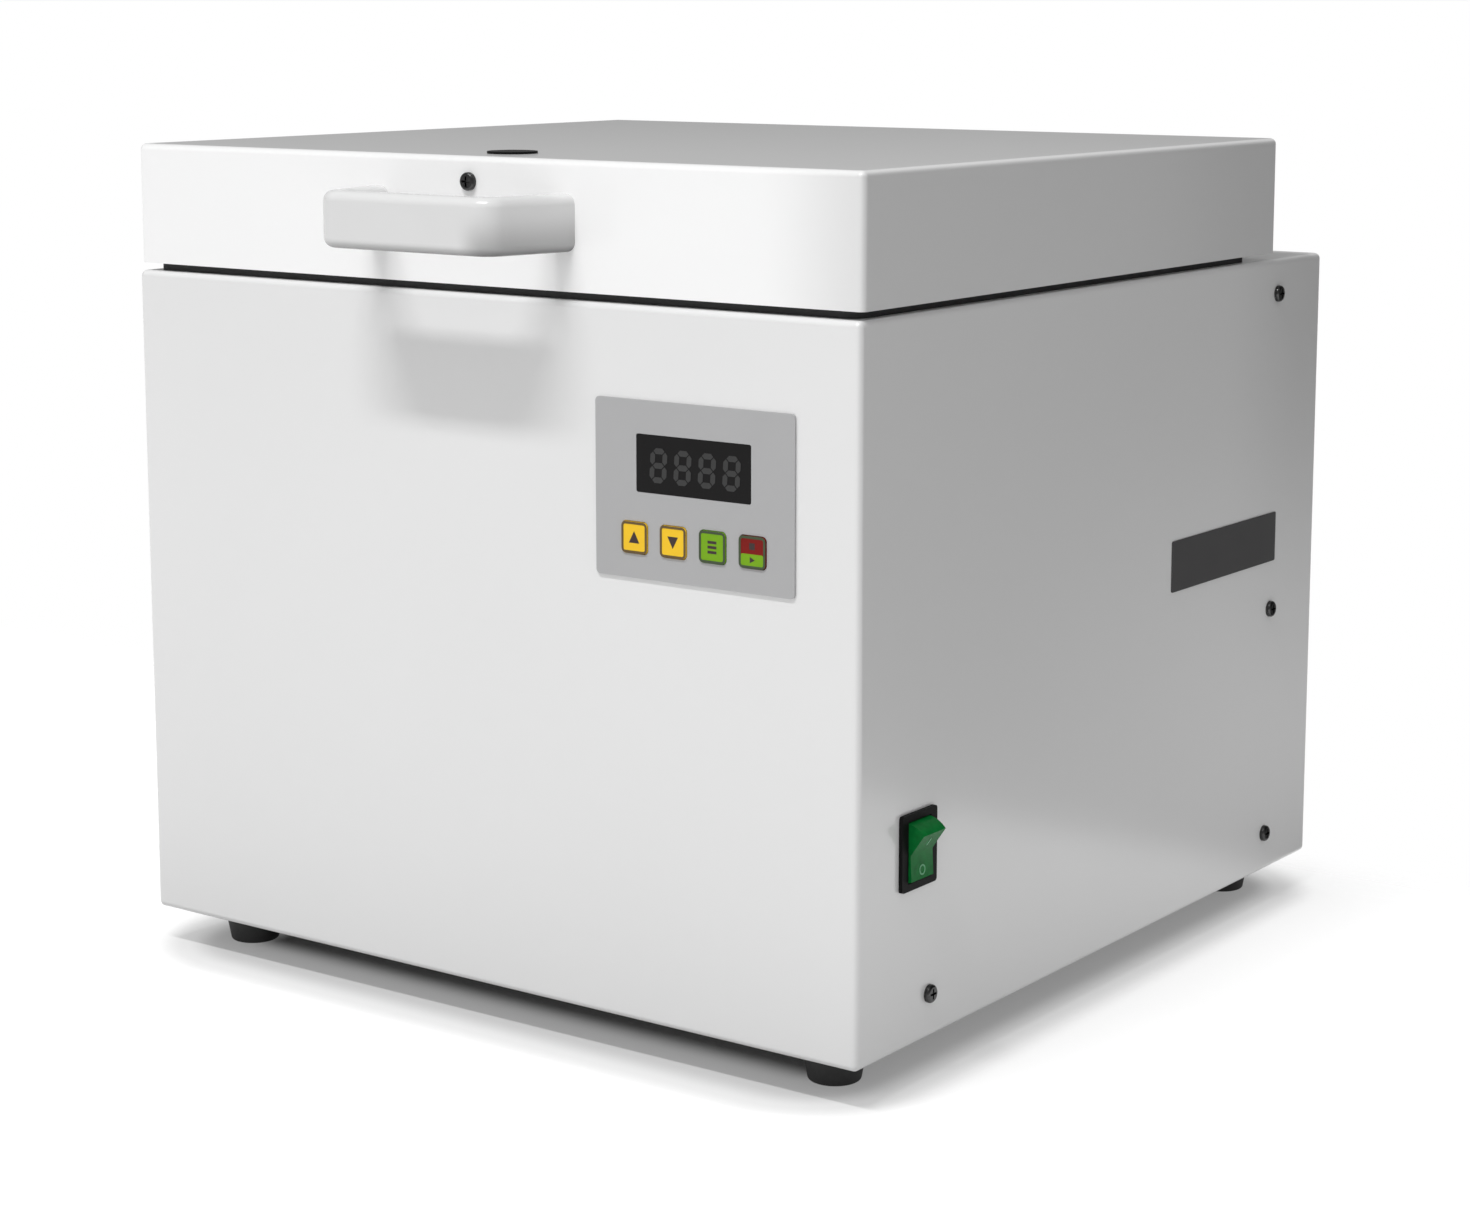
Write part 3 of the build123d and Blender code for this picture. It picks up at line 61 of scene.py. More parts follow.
slot_of = {part["node"]: part["material_slot"] for part in frame["record"]["subparts"]}
MM = 0.001


# ---- Shader groups ----
def new_group(name, inputs, outputs):
    """An empty shader group with named sockets: (name, socket kind, default)."""
    tree = bpy.data.node_groups.new(name, "ShaderNodeTree")
    for label, kind, default in inputs:
        made = tree.interface.new_socket(label, in_out="INPUT", socket_type=kind)
        if default is not None:
            made.default_value = default
    for label, kind in outputs:
        tree.interface.new_socket(label, in_out="OUTPUT", socket_type=kind)
    return tree, tree.nodes.new("NodeGroupInput"), tree.nodes.new("NodeGroupOutput")


def noise(tree, place, scale, detail=2.0):
    """A noise texture read at a place; scale is a number or an output socket."""
    node = tree.nodes.new("ShaderNodeTexNoise")
    node.inputs["Detail"].default_value = detail
    tree.links.new(place, node.inputs["Vector"])
    if isinstance(scale, (int, float)):
        node.inputs["Scale"].default_value = scale
    else:
        tree.links.new(scale, node.inputs["Scale"])
    return node.outputs["Fac"]


def sums(tree, operation, first, second):
    """A maths node on two sockets or numbers."""
    node = tree.nodes.new("ShaderNodeMath")
    node.operation = operation
    for given, socket in zip((first, second), node.inputs):
        if isinstance(given, (int, float)):
            socket.default_value = given
        else:
            tree.links.new(given, socket)
    return node.outputs[0]


def link_chain(tree, operation, first, *others):
    """The same maths node over several sockets or numbers in turn."""
    total = first
    for other in others:
        total = sums(tree, operation, total, other)
    return total


def ramp(tree, value, steps):
    """A line through (position, grey) steps."""
    node = tree.nodes.new("ShaderNodeValToRGB")
    node.color_ramp.interpolation = "LINEAR"
    points = node.color_ramp.elements
    while len(points) < len(steps):
        points.new(0.5)
    for point, (place, tone) in zip(points, steps):
        point.position = place
        point.color = (*grey(tone), 1)
    tree.links.new(value, node.inputs[0])
    return node.outputs["Color"]


def spread_range(tree, value, low, high, first=0.0, last=1.0):
    """A smooth rise from the first number to the last while the value goes from low to high."""
    node = tree.nodes.new("ShaderNodeMapRange")
    node.interpolation_type = "SMOOTHSTEP"
    for label, number in zip(("From Min", "From Max", "To Min", "To Max"), (low, high, first, last)):
        node.inputs[label].default_value = number
    tree.links.new(value, node.inputs["Value"])
    return node.outputs["Result"]


def cloudy_group():
    """Colour and roughness that drift in soft patches between two values."""
    tree, given, out = new_group(
        "cloudy",
        [
            ("Place", "NodeSocketVector", None),
            ("Colour", "NodeSocketColor", (0.8, 0.8, 0.8, 1)),
            ("Shade", "NodeSocketColor", (0.7, 0.7, 0.7, 1)),
            ("Patch Scale", "NodeSocketFloat", 20.0),
            ("Roughness", "NodeSocketFloat", 0.4),
            ("Spread", "NodeSocketFloat", 0.05),
        ],
        [("Colour", "NodeSocketColor"), ("Roughness", "NodeSocketFloat")],
    )
    drift = noise(tree, given.outputs["Place"], given.outputs["Patch Scale"], 4.0)
    mix = tree.nodes.new("ShaderNodeMix")
    mix.data_type = "RGBA"
    tree.links.new(drift, mix.inputs[0])
    tree.links.new(given.outputs["Colour"], mix.inputs[6])
    tree.links.new(given.outputs["Shade"], mix.inputs[7])
    tree.links.new(mix.outputs[2], out.inputs["Colour"])
    swing = sums(tree, "MULTIPLY", sums(tree, "SUBTRACT", drift, 0.5), given.outputs["Spread"])
    tree.links.new(sums(tree, "ADD", swing, given.outputs["Roughness"]), out.inputs["Roughness"])
    return tree


def relief_group():
    """The height of a fine relief: a wide ripple and a fine grain, added in shares."""
    tree, given, out = new_group(
        "relief",
        [
            ("Place", "NodeSocketVector", None),
            ("Ripple Scale", "NodeSocketFloat", 300.0),
            ("Grain Scale", "NodeSocketFloat", 1500.0),
            ("Grain Share", "NodeSocketFloat", 0.3),
        ],
        [("Height", "NodeSocketFloat")],
    )
    ripple = noise(tree, given.outputs["Place"], given.outputs["Ripple Scale"], 1.0)
    grain = noise(tree, given.outputs["Place"], given.outputs["Grain Scale"], 2.0)
    part = sums(tree, "MULTIPLY", grain, given.outputs["Grain Share"])
    tree.links.new(sums(tree, "ADD", ripple, part), out.inputs["Height"])
    return tree


CLOUDY = cloudy_group()
RELIEF = relief_group()


# ---- Materials ----
def finish(
    name,
    colour,
    shade,
    roughness,
    spread=0.06,
    patch=18.0,
    ripple=300.0,
    grain=1500.0,
    grain_share=0.3,
    relief=0.1,
    depth=0.05,
    stretch=(1, 1, 1),
    **constants,
):
    """A finish whose colour and roughness drift in patches over a fine relief.

    The colour drifts to the shade, and the roughness by half the spread each way. Patch, ripple
    and grain are noise scales per metre, relief is the bump's strength and depth its height in mm.
    Stretch scales the place before the patterns read it, which draws them out into strokes.
    Further names are sockets of the shader that take one value all over."""
    material = bpy.data.materials.new(name)
    material.use_nodes = True
    tree = material.node_tree
    shader = tree.nodes["Principled BSDF"]
    place = tree.nodes.new("ShaderNodeTexCoord").outputs["Object"]
    if stretch != (1, 1, 1):
        mapping = tree.nodes.new("ShaderNodeMapping")
        mapping.inputs["Scale"].default_value = stretch
        tree.links.new(place, mapping.inputs["Vector"])
        place = mapping.outputs["Vector"]
    cloudy = tree.nodes.new("ShaderNodeGroup")
    cloudy.node_tree = CLOUDY
    cloudy.inputs["Colour"].default_value = (*colour, 1)
    cloudy.inputs["Shade"].default_value = (*shade, 1)
    cloudy.inputs["Patch Scale"].default_value = patch
    cloudy.inputs["Roughness"].default_value = roughness
    cloudy.inputs["Spread"].default_value = spread
    height = tree.nodes.new("ShaderNodeGroup")
    height.node_tree = RELIEF
    height.inputs["Ripple Scale"].default_value = ripple
    height.inputs["Grain Scale"].default_value = grain
    height.inputs["Grain Share"].default_value = grain_share
    bump = tree.nodes.new("ShaderNodeBump")
    bump.inputs["Strength"].default_value = relief
    bump.inputs["Distance"].default_value = depth * MM
    tree.links.new(place, cloudy.inputs["Place"])
    tree.links.new(place, height.inputs["Place"])
    tree.links.new(cloudy.outputs["Colour"], shader.inputs["Base Color"])
    tree.links.new(cloudy.outputs["Roughness"], shader.inputs["Roughness"])
    tree.links.new(height.outputs["Height"], bump.inputs["Height"])
    tree.links.new(bump.outputs["Normal"], shader.inputs["Normal"])
    for socket, value in constants.items():
        shader.inputs[socket.replace("_", " ")].default_value = value
    return material


def grey(value):
    """A neutral colour."""
    return (value, value, value)


# What each CAD material slot looks like, and below them the marks that only the scene has.
FINISHES = {
    "white_coat": finish(
        "white_powder_coat", grey(0.80), grey(0.785),
        roughness=0.3, spread=0.05, patch=9.0, ripple=420, grain=2400, grain_share=0.1, relief=0.5,
        depth=0.02, Coat_Weight=0.6, Coat_Roughness=0.1,
    ),
    "grey_coat": finish(
        "grey_coat", grey(0.34), grey(0.31),
        roughness=0.42, spread=0.06, patch=30, ripple=500, grain=2600, grain_share=0.3, relief=0.5,
        depth=0.03,
    ),
    "handle_white": finish(
        "handle_plastic", grey(0.73), (0.71, 0.71, 0.7),
        roughness=0.24, spread=0.05, patch=40, ripple=700, grain=3000, grain_share=0.5, relief=0.3,
        depth=0.01,
    ),
    "mirror_sheet": finish(
        "rolled_aluminium", (0.9, 0.905, 0.91), (0.84, 0.845, 0.85),
        roughness=0.1, spread=0.06, patch=12, ripple=60, grain=900, grain_share=0.2, relief=0.25,
        depth=0.02, stretch=(1, 12, 1), Metallic=1.0,
    ),
    "clear_glass": finish(
        "clear_glass", (0.93, 0.98, 0.965), (0.91, 0.97, 0.95),
        roughness=0.03, spread=0.02, patch=30, ripple=30, grain=300, grain_share=0.1, relief=0.03,
        depth=0.02, Transmission_Weight=1.0, IOR=1.5,
    ),
    "lamp_glass": finish(
        "phosphor_glass", (0.86, 0.86, 0.83), (0.8, 0.8, 0.77),
        roughness=0.16, spread=0.05, patch=60, ripple=300, grain=2000, grain_share=0.3, relief=0.1,
        depth=0.02,
    ),
    "screw_steel": finish(
        "zinc_plate", (0.09, 0.09, 0.09), (0.04, 0.04, 0.04),
        roughness=0.3, spread=0.12, patch=700, ripple=900, grain=4000, grain_share=0.4, relief=0.3,
        depth=0.03, Metallic=1.0,
    ),
    "hinge_steel": finish(
        "brushed_steel", (0.62, 0.62, 0.61), (0.5, 0.5, 0.5),
        roughness=0.28, spread=0.12, patch=40, ripple=300, grain=2500, grain_share=0.5, relief=0.3,
        depth=0.03, stretch=(0.06, 1, 1), Metallic=1.0,
    ),
    "foot_rubber": finish(
        "foot_rubber", grey(0.022), grey(0.035),
        roughness=0.62, spread=0.12, patch=90, ripple=900, grain=3500, grain_share=0.6, relief=0.6,
        depth=0.06,
    ),
    "seal_rubber": finish(
        "seal_rubber", grey(0.018), grey(0.03),
        roughness=0.7, spread=0.1, patch=60, ripple=800, grain=3000, grain_share=0.7, relief=0.6,
        depth=0.06,
    ),
    "black_plastic": finish(
        "black_plastic", grey(0.006), grey(0.01),
        roughness=0.45, spread=0.1, patch=70, ripple=900, grain=3600, grain_share=0.7, relief=0.5,
        depth=0.03, IOR=1.15,
    ),
    "panel_grey": finish(
        "overlay_film", (0.43, 0.43, 0.435), (0.41, 0.41, 0.415),
        roughness=0.42, spread=0.05, patch=25, ripple=1500, grain=5200, grain_share=0.8,
        relief=0.45, depth=0.015,
    ),
    "display_window": finish(
        "smoked_window", (0.006, 0.0055, 0.0057), (0.009, 0.0085, 0.0087),
        roughness=0.2, spread=0.04, patch=50, ripple=300, grain=2500, grain_share=0.2, relief=0.1,
        depth=0.01, IOR=1.2,
    ),
    "plate_grey": finish(
        "dark_plate", (0.05, 0.049, 0.05), (0.065, 0.064, 0.065),
        roughness=0.4, spread=0.1, patch=60, ripple=900, grain=3500, grain_share=0.5, relief=0.3,
        depth=0.02,
    ),
    "key_yellow": finish(
        "key_yellow", (0.95, 0.6, 0.03), (0.9, 0.56, 0.03),
        roughness=0.4, spread=0.06, patch=120, ripple=1500, grain=5000, grain_share=0.7, relief=0.4,
        depth=0.015, IOR=1.25,
    ),
    "key_green": finish(
        "key_green", (0.2, 0.42, 0.012), (0.17, 0.37, 0.012),
        roughness=0.4, spread=0.06, patch=120, ripple=1500, grain=5000, grain_share=0.7, relief=0.4,
        depth=0.015, IOR=1.25,
    ),
    "key_red": finish(
        "key_red", (0.22, 0.008, 0.005), (0.18, 0.007, 0.005),
        roughness=0.4, spread=0.06, patch=120, ripple=1500, grain=5000, grain_share=0.7, relief=0.4,
        depth=0.015, IOR=1.25,
    ),
    "rocker_green": finish(
        "rocker_green", (0.006, 0.21, 0.04), (0.002, 0.09, 0.018),
        roughness=0.22, spread=0.1, patch=260, ripple=900, grain=2500, grain_share=0.4, relief=0.4,
        depth=0.04, IOR=1.14,
    ),
    "rocker_mark": finish(
        "rocker_mark", (0.12, 0.42, 0.2), (0.09, 0.34, 0.16),
        roughness=0.4, spread=0.08, patch=300, ripple=1500, grain=5000, grain_share=0.6, relief=0.3,
        depth=0.01,
    ),
    "holder_white": finish(
        "holder_plastic", (0.74, 0.74, 0.71), (0.68, 0.68, 0.65),
        roughness=0.45, spread=0.08, patch=80, ripple=900, grain=3500, grain_share=0.5, relief=0.4,
        depth=0.03,
    ),
    "clip_clear": finish(
        "clip_plastic", grey(0.7), grey(0.64),
        roughness=0.25, spread=0.06, patch=90, ripple=700, grain=3000, grain_share=0.4, relief=0.2,
        depth=0.02,
    ),
    "ballast_steel": finish(
        "ballast_coat", (0.5, 0.5, 0.48), (0.44, 0.44, 0.42),
        roughness=0.4, spread=0.1, patch=25, ripple=500, grain=2600, grain_share=0.4, relief=0.4,
        depth=0.03,
    ),
    "board_green": finish(
        "board_green", (0.012, 0.11, 0.03), (0.008, 0.08, 0.022),
        roughness=0.32, spread=0.08, patch=200, ripple=900, grain=3500, grain_share=0.4, relief=0.4,
        depth=0.04,
    ),
    "spacer_brass": finish(
        "spacer_brass", (0.6, 0.42, 0.16), (0.5, 0.34, 0.12),
        roughness=0.3, spread=0.1, patch=300, ripple=900, grain=4000, grain_share=0.4, relief=0.3,
        depth=0.02, Metallic=1.0,
    ),
    "guard_chrome": finish(
        "guard_chrome", grey(0.66), grey(0.58),
        roughness=0.16, spread=0.08, patch=200, ripple=700, grain=3500, grain_share=0.3, relief=0.2,
        depth=0.02, Metallic=1.0,
    ),
    "magnet_steel": finish(
        "magnet_steel", (0.42, 0.42, 0.43), (0.34, 0.34, 0.35),
        roughness=0.35, spread=0.12, patch=90, ripple=800, grain=3500, grain_share=0.5, relief=0.4,
        depth=0.03, Metallic=1.0,
    ),
    "mark_ink": finish(
        "mark_ink", (0.02, 0.006, 0.005), (0.03, 0.01, 0.008),
        roughness=0.5, spread=0.08, patch=300, ripple=1500, grain=5000, grain_share=0.6, relief=0.3,
        depth=0.01,
    ),
    "digit_grey": finish(
        "digit_grey", grey(0.011), grey(0.009),
        roughness=0.3, spread=0.08, patch=200, ripple=900, grain=3500, grain_share=0.4, relief=0.2,
        depth=0.01,
    ),
    "ring_bronze": finish(
        "ring_bronze", (0.12, 0.07, 0.008), (0.09, 0.05, 0.008),
        roughness=0.42, spread=0.08, patch=200, ripple=1500, grain=5000, grain_share=0.6,
        relief=0.3, depth=0.01,
    ),
    "ring_moss": finish(
        "ring_moss", (0.035, 0.06, 0.015), (0.025, 0.045, 0.012),
        roughness=0.42, spread=0.08, patch=200, ripple=1500, grain=5000, grain_share=0.6,
        relief=0.3, depth=0.01,
    ),
}


# ---- Meshes ----
def add_piece(name, points, faces, finish_name, body, round_angle=40.0):
    """A piece from points in metres and faces, shaded smooth where it turns less than the angle."""
    mesh = bpy.data.meshes.new(name)
    mesh.from_pydata(np.asarray(points).reshape(-1, 3).tolist(), [], [list(f) for f in faces])
    mesh.validate()
    settle_shading(mesh, round_angle)
    mesh.materials.append(FINISHES[finish_name])
    piece = bpy.data.objects.new(name, mesh)
    bpy.context.scene.collection.objects.link(piece)
    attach(piece, body)
    return piece


def settle_shading(mesh, round_angle):
    """Joins points that meet and marks the edges that turn more than the angle as sharp."""
    work = bmesh.new()
    work.from_mesh(mesh)
    bmesh.ops.remove_doubles(work, verts=work.verts, dist=1e-6)
    limit = math.radians(round_angle)
    for face in work.faces:
        face.smooth = True
    for edge in work.edges:
        edge.smooth = edge.calc_face_angle(math.pi) < limit
    work.to_mesh(mesh)
    work.free()


def even_normals(piece):
    """Lets large flat faces keep their own direction, so that only the bends shade round."""
    weighting = piece.modifiers.new("flat_faces_first", "WEIGHTED_NORMAL")
    weighting.keep_sharp = True
    weighting.weight = 80
    return piece


def smooth_copy(name, round_angle=40.0, finish_name=None):
    """A copy of a node whose loose triangles are joined, and whose bends shade round."""
    node = nodes[name]
    mesh = node.data.copy()
    if "custom_normal" in mesh.attributes:
        mesh.attributes.remove(mesh.attributes["custom_normal"])
    settle_shading(mesh, round_angle)
    mesh.materials.clear()
    mesh.materials.append(FINISHES[finish_name or slot_of[name]])
    piece = bpy.data.objects.new(f"{name}_finished", mesh)
    bpy.context.scene.collection.objects.link(piece)
    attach(piece, node["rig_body"])
    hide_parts(name)
    return even_normals(piece)


def outline(width, height, radius, steps=6):
    """A rounded rectangle around the origin, anticlockwise: four quarter turns of the radius,
    each around its own corner's centre."""
    angles = np.linspace(0, np.pi / 2, steps)
    turns = np.concatenate([angles + quarter * np.pi / 2 for quarter in range(4)])
    sign_x = np.repeat([1, -1, -1, 1], steps)
    sign_y = np.repeat([1, 1, -1, -1], steps)
    x = sign_x * (width / 2 - radius) + radius * np.cos(turns)
    y = sign_y * (height / 2 - radius) + radius * np.sin(turns)
    return np.stack([x, y], 1)


def tube_faces(rings, around, closed=False):
    """Quads between neighbouring rings; closed joins the last ring to the first."""
    i, j = np.meshgrid(np.arange(rings if closed else rings - 1), np.arange(around), indexing="ij")
    k = (j + 1) % around
    m = (i + 1) % rings
    return np.stack([i * around + j, i * around + k, m * around + k, m * around + j], -1).reshape(-1, 4)


def front_seat(x, y, z):
    """A place on the front, in mm, and the ways that are right, up and outward there."""
    return np.array((x, y, z), float), np.array([(1, 0, 0), (0, 0, 1), (0, -1, 0)], float)


def put(seat, flat, rise):
    """Points in metres from flat (right, up) pairs and a rise outwards, all in mm."""
    centre, (right, up, out) = seat
    flat = np.asarray(flat, float)
    rise = np.broadcast_to(rise, flat.shape[:-1])
    points = centre + flat[..., :1] * right + flat[..., 1:] * up + rise[..., None] * out
    return points * MM


def flat_marks(name, seat, shapes, rise, thickness, finish_name, body):
    """Thin raised marks: each shape's outline at two heights, closed above and at the sides."""
    points = []
    faces = []
    for shape in shapes:
        start = sum(len(p) for p in points)
        count = len(shape)
        points.append(put(seat, shape, rise))
        points.append(put(seat, shape, rise + thickness))
        faces += (tube_faces(2, count) + start).tolist()
        faces.append(list(range(start + count, start + 2 * count)))
        faces.append(list(range(start, start + count))[::-1])
    return add_piece(name, np.concatenate(points), faces, finish_name, body, 30.0)


def ring_plate(name, seat, size, radius, band, rise, thickness, finish_name, body):
    """A flat frame: the outline at the outside and drawn in by the band, at two heights."""
    width, height = size
    outside = outline(width, height, radius)
    inside = outline(width - 2 * band, height - 2 * band, max(radius - band, 0.3))
    rings = [
        put(seat, outside, rise),
        put(seat, outside, rise + thickness),
        put(seat, inside, rise + thickness),
        put(seat, inside, rise),
    ]
    faces = tube_faces(4, len(outside), closed=True)
    return add_piece(name, np.concatenate(rings), faces, finish_name, body, 30.0)


CLOUD_SHARE = 0.975


def painted_light_copy(source, name, tones):
    """A copy of a finish whose grey follows the place on the object, with light and shade painted in.
    Tones takes the shader tree and the x, y and z sockets, and gives the grey; the clouds' darker
    grey is a share of it."""
    material = FINISHES[source].copy()
    material.name = name
    tree = material.node_tree
    cloudy = next(node for node in tree.nodes if node.type == "GROUP" and node.node_tree == CLOUDY)
    place = tree.nodes.new("ShaderNodeTexCoord").outputs["Object"]
    apart = tree.nodes.new("ShaderNodeSeparateXYZ")
    tree.links.new(place, apart.inputs[0])
    tone = tones(tree, *(apart.outputs[axis] for axis in "XYZ"))
    tree.links.new(tone, cloudy.inputs["Colour"])
    tree.links.new(sums(tree, "MULTIPLY", tone, CLOUD_SHARE), cloudy.inputs["Shade"])
    return material


def blend(tree, first, second, share):
    """The first value where the share is none, the second where it is one."""
    step = sums(tree, "SUBTRACT", second, first)
    return sums(tree, "ADD", first, sums(tree, "MULTIPLY", step, share))


# Places in metres and greys of the coats whose grey follows the place, with light and shade
# painted in. The bends are where the front goes over into the right side, and where the lid's
# sides go over into its top.
SIDE_BEND_X = (0.203, 0.2046)
TOP_BEND_Z = (0.3865, 0.3888)
CASING_GREY = 0.8
LID_TOP_GREY = 0.84
HANDLE_GREY = 0.73


def lid_painted_light(tree, x, y, z):
    """Painted light and shade: the front is painted lighter than the casing's plain grey and a little
    darker to the right, the side is painted darker and darker still to the rear; the top is even.
    """
    front = spread_range(tree, x, 0.15, 0.21, 0.96, 0.76)
    side = spread_range(tree, y, 0.0, 0.16, 0.67, 0.6)
    upright = blend(tree, front, side, spread_range(tree, x, *SIDE_BEND_X))
    return blend(tree, upright, LID_TOP_GREY, spread_range(tree, z, *TOP_BEND_Z))


def casing_painted_light(tree, x, y, z):
    """Painted light and shade on the right side: it is painted darker than the front, lighter low at the
    rear and darker high at the rear; the rest is even.
    """
    low = spread_range(tree, y, -0.2, 0.2, 0.74, 0.97)
    high = spread_range(tree, y, 0.1, 0.2, 0.7, 0.59)
    side = blend(tree, low, high, spread_range(tree, z, 0.04, 0.31))
    return blend(tree, CASING_GREY, side, spread_range(tree, x, *SIDE_BEND_X))


def handle_painted_shade(tree, x, _, z):
    """Painted shade at the handle's lower edge, and a painted shadow downwards over its right end."""
    lower_edge = spread_range(tree, z, 0.3499, 0.3535, 0.4, 1.0)
    downwards = spread_range(tree, z, 0.35, 0.37, 0.45, 0.0)
    right_end = sums(tree, "SUBTRACT", 1.0,
                     sums(tree, "MULTIPLY", downwards, spread_range(tree, x, 0.03, 0.045)))
    return link_chain(tree, "MULTIPLY", lower_edge, right_end, HANDLE_GREY)


# The lid's, handle's and casing's coats carry painted light and shade in their grey.
FINISHES["lid_painted_coat"] = painted_light_copy("white_coat", "lid_painted_powder_coat", lid_painted_light)
FINISHES["handle_painted_shade_coat"] = painted_light_copy("handle_white", "handle_painted_shade_coat", handle_painted_shade)
FINISHES["casing_painted_coat"] = painted_light_copy("white_coat", "casing_painted_powder_coat", casing_painted_light)
PAINTED_LIGHT_COATS = {"lid_shell": "lid_painted_coat", "handle": "handle_painted_shade_coat", "outer_casing": "casing_painted_coat"}


# ---- Every node gets its finish ----
for node_name, node in nodes.items():
    node.data.materials.clear()
    node.data.materials.append(FINISHES[slot_of[node_name]])

for node_name in nodes:
    smooth_copy(node_name, finish_name=PAINTED_LIGHT_COATS.get(node_name))


# ---- Control panel ----
# In mm, from the part's own sizes: the faces that the digits and the keys' marks lie on.
PANEL_X = 122.5
PANEL_FACE_Y = -211.5
DISPLAY_Z = 263.4
DIGIT_COUNT = 4
DIGIT_PITCH = 12.6
DIGIT_WIDTH = 8.9
DIGIT_HEIGHT = 14.8
DIGIT_STROKE = 2.5
DIGIT_LEAN = 0.06
DIGIT_SHIFT = (0.9, -0.4)
DIGIT_THICKNESS = 0.02
KEYS = {
    "key_up": (91.9, "key_yellow", "ring_bronze"),
    "key_down": (112.3, "key_yellow", "ring_bronze"),
    "key_program": (132.7, "key_green", "ring_moss"),
    "key_start_stop": (153.1, "key_red", "ring_moss"),
}
KEY_FACE_Y = -212.1
KEY_Z = 231.3
KEY_SIZE = (13.5, 13.5)
KEY_CORNER_RADIUS = 2.0
RIM_BAND = 1.1
RIM_THICKNESS = 0.08
INK_THICKNESS = 0.03
ARROW_SIZE = 5.6
LINE_PITCH = 2.1
LINE_SIZE = (4.6, 1.2)
HALF_KEY_SIZE = (11.3, 4.9)
HALF_KEY_RADIUS = 0.8
HALF_KEY_DROP = 3.2  # from the key's middle to the middle of its green half
HALF_KEY_THICKNESS = 0.04
STOP_RISE = 2.5
STOP_SIDE = 2.8


def digit_shapes(middle_x, middle_z):
    """The seven bars of one digit: each a long six-sided bar, all leaning to the right."""
    x = DIGIT_WIDTH / 2 - DIGIT_STROKE / 2
    half = DIGIT_HEIGHT / 2 - DIGIT_STROKE / 2
    gap = DIGIT_STROKE * 0.12
    bars = [((-x, z), (x, z)) for z in (half, 0, -half)]
    bars += [((side * x, 0), (side * x, turn * half)) for side in (-1, 1) for turn in (-1, 1)]
    shapes = []
    for start, end in np.array(bars, float):
        along = (end - start) / np.linalg.norm(end - start)
        across = np.array([-along[1], along[0]]) * DIGIT_STROKE / 2
        start = start + along * gap
        end = end - along * gap
        tip = along * DIGIT_STROKE / 2
        shape = np.array([
            start, start + tip - across, end - tip - across,
            end, end - tip + across, start + tip + across,
        ])
        shape[:, 0] += shape[:, 1] * DIGIT_LEAN
        shapes.append(shape + np.array([middle_x, middle_z]))
    return shapes


def display_digits():
    """Four unlit digits, seen faintly through the window."""
    shapes = []
    for place in np.arange(DIGIT_COUNT) - (DIGIT_COUNT - 1) / 2:
        shapes += digit_shapes(DIGIT_SHIFT[0] + place * DIGIT_PITCH, DIGIT_SHIFT[1])
    return flat_marks(
        "display_digits", front_seat(PANEL_X, PANEL_FACE_Y, DISPLAY_Z), shapes,
        0.0, DIGIT_THICKNESS, "digit_grey", "cabinet",
    )


def triangle(size, turn):
    """A triangle around the origin, pointing up (1) or down (-1)."""
    points = np.array([(-0.5, -0.42), (0.5, -0.42), (0.0, 0.5)]) * size
    return points if turn > 0 else -points


def bar(x, z, width, height):
    """A small rectangle."""
    return np.array([(x - width / 2, z - height / 2), (x + width / 2, z - height / 2),
                     (x + width / 2, z + height / 2), (x - width / 2, z + height / 2)])


def key_details():
    """A dark rim and a mark on every key, and the green lower half of the last one."""
    seats = {name: front_seat(x, KEY_FACE_Y, KEY_Z) for name, (x, _, _) in KEYS.items()}
    for name, (_, face, rim) in KEYS.items():
        ring_plate(f"{name}_rim", seats[name], KEY_SIZE, KEY_CORNER_RADIUS, RIM_BAND, 0.0,
                   RIM_THICKNESS, rim, name)
    marks = {
        "key_up": [triangle(ARROW_SIZE, 1)],
        "key_down": [triangle(ARROW_SIZE, -1)],
        "key_program": [bar(0, rise, *LINE_SIZE) for rise in (LINE_PITCH, 0, -LINE_PITCH)],
    }
    for name, shapes in marks.items():
        flat_marks(f"{name}_mark", seats[name], shapes, 0.0, INK_THICKNESS, "mark_ink", name)
    key = "key_start_stop"
    drop = np.array([0, -HALF_KEY_DROP])
    half = outline(*HALF_KEY_SIZE, HALF_KEY_RADIUS) + drop
    play = np.array([(-1.1, -1.3), (1.5, 0.0), (-1.1, 1.3)]) + drop
    stop = bar(0, STOP_RISE, STOP_SIDE, STOP_SIDE)
    flat_marks("key_start_face", seats[key], [half], 0.0, HALF_KEY_THICKNESS, "key_green", key)
    flat_marks("key_start_mark", seats[key], [play], HALF_KEY_THICKNESS, INK_THICKNESS, "mark_ink",
               key)
    flat_marks("key_stop_mark", seats[key], [stop], 0.0, INK_THICKNESS, "mark_ink", key)


display_digits()
key_details()


# ---- Mains switch ----
ROCKER_PIVOT = (204.2, -166.0, 104.0)
ROCKER_VALLEY = 3.6
ROCKER_CREST = 8.0
ROCKER_HALF = 13.0
ROCKER_TILT = math.radians(16.0)


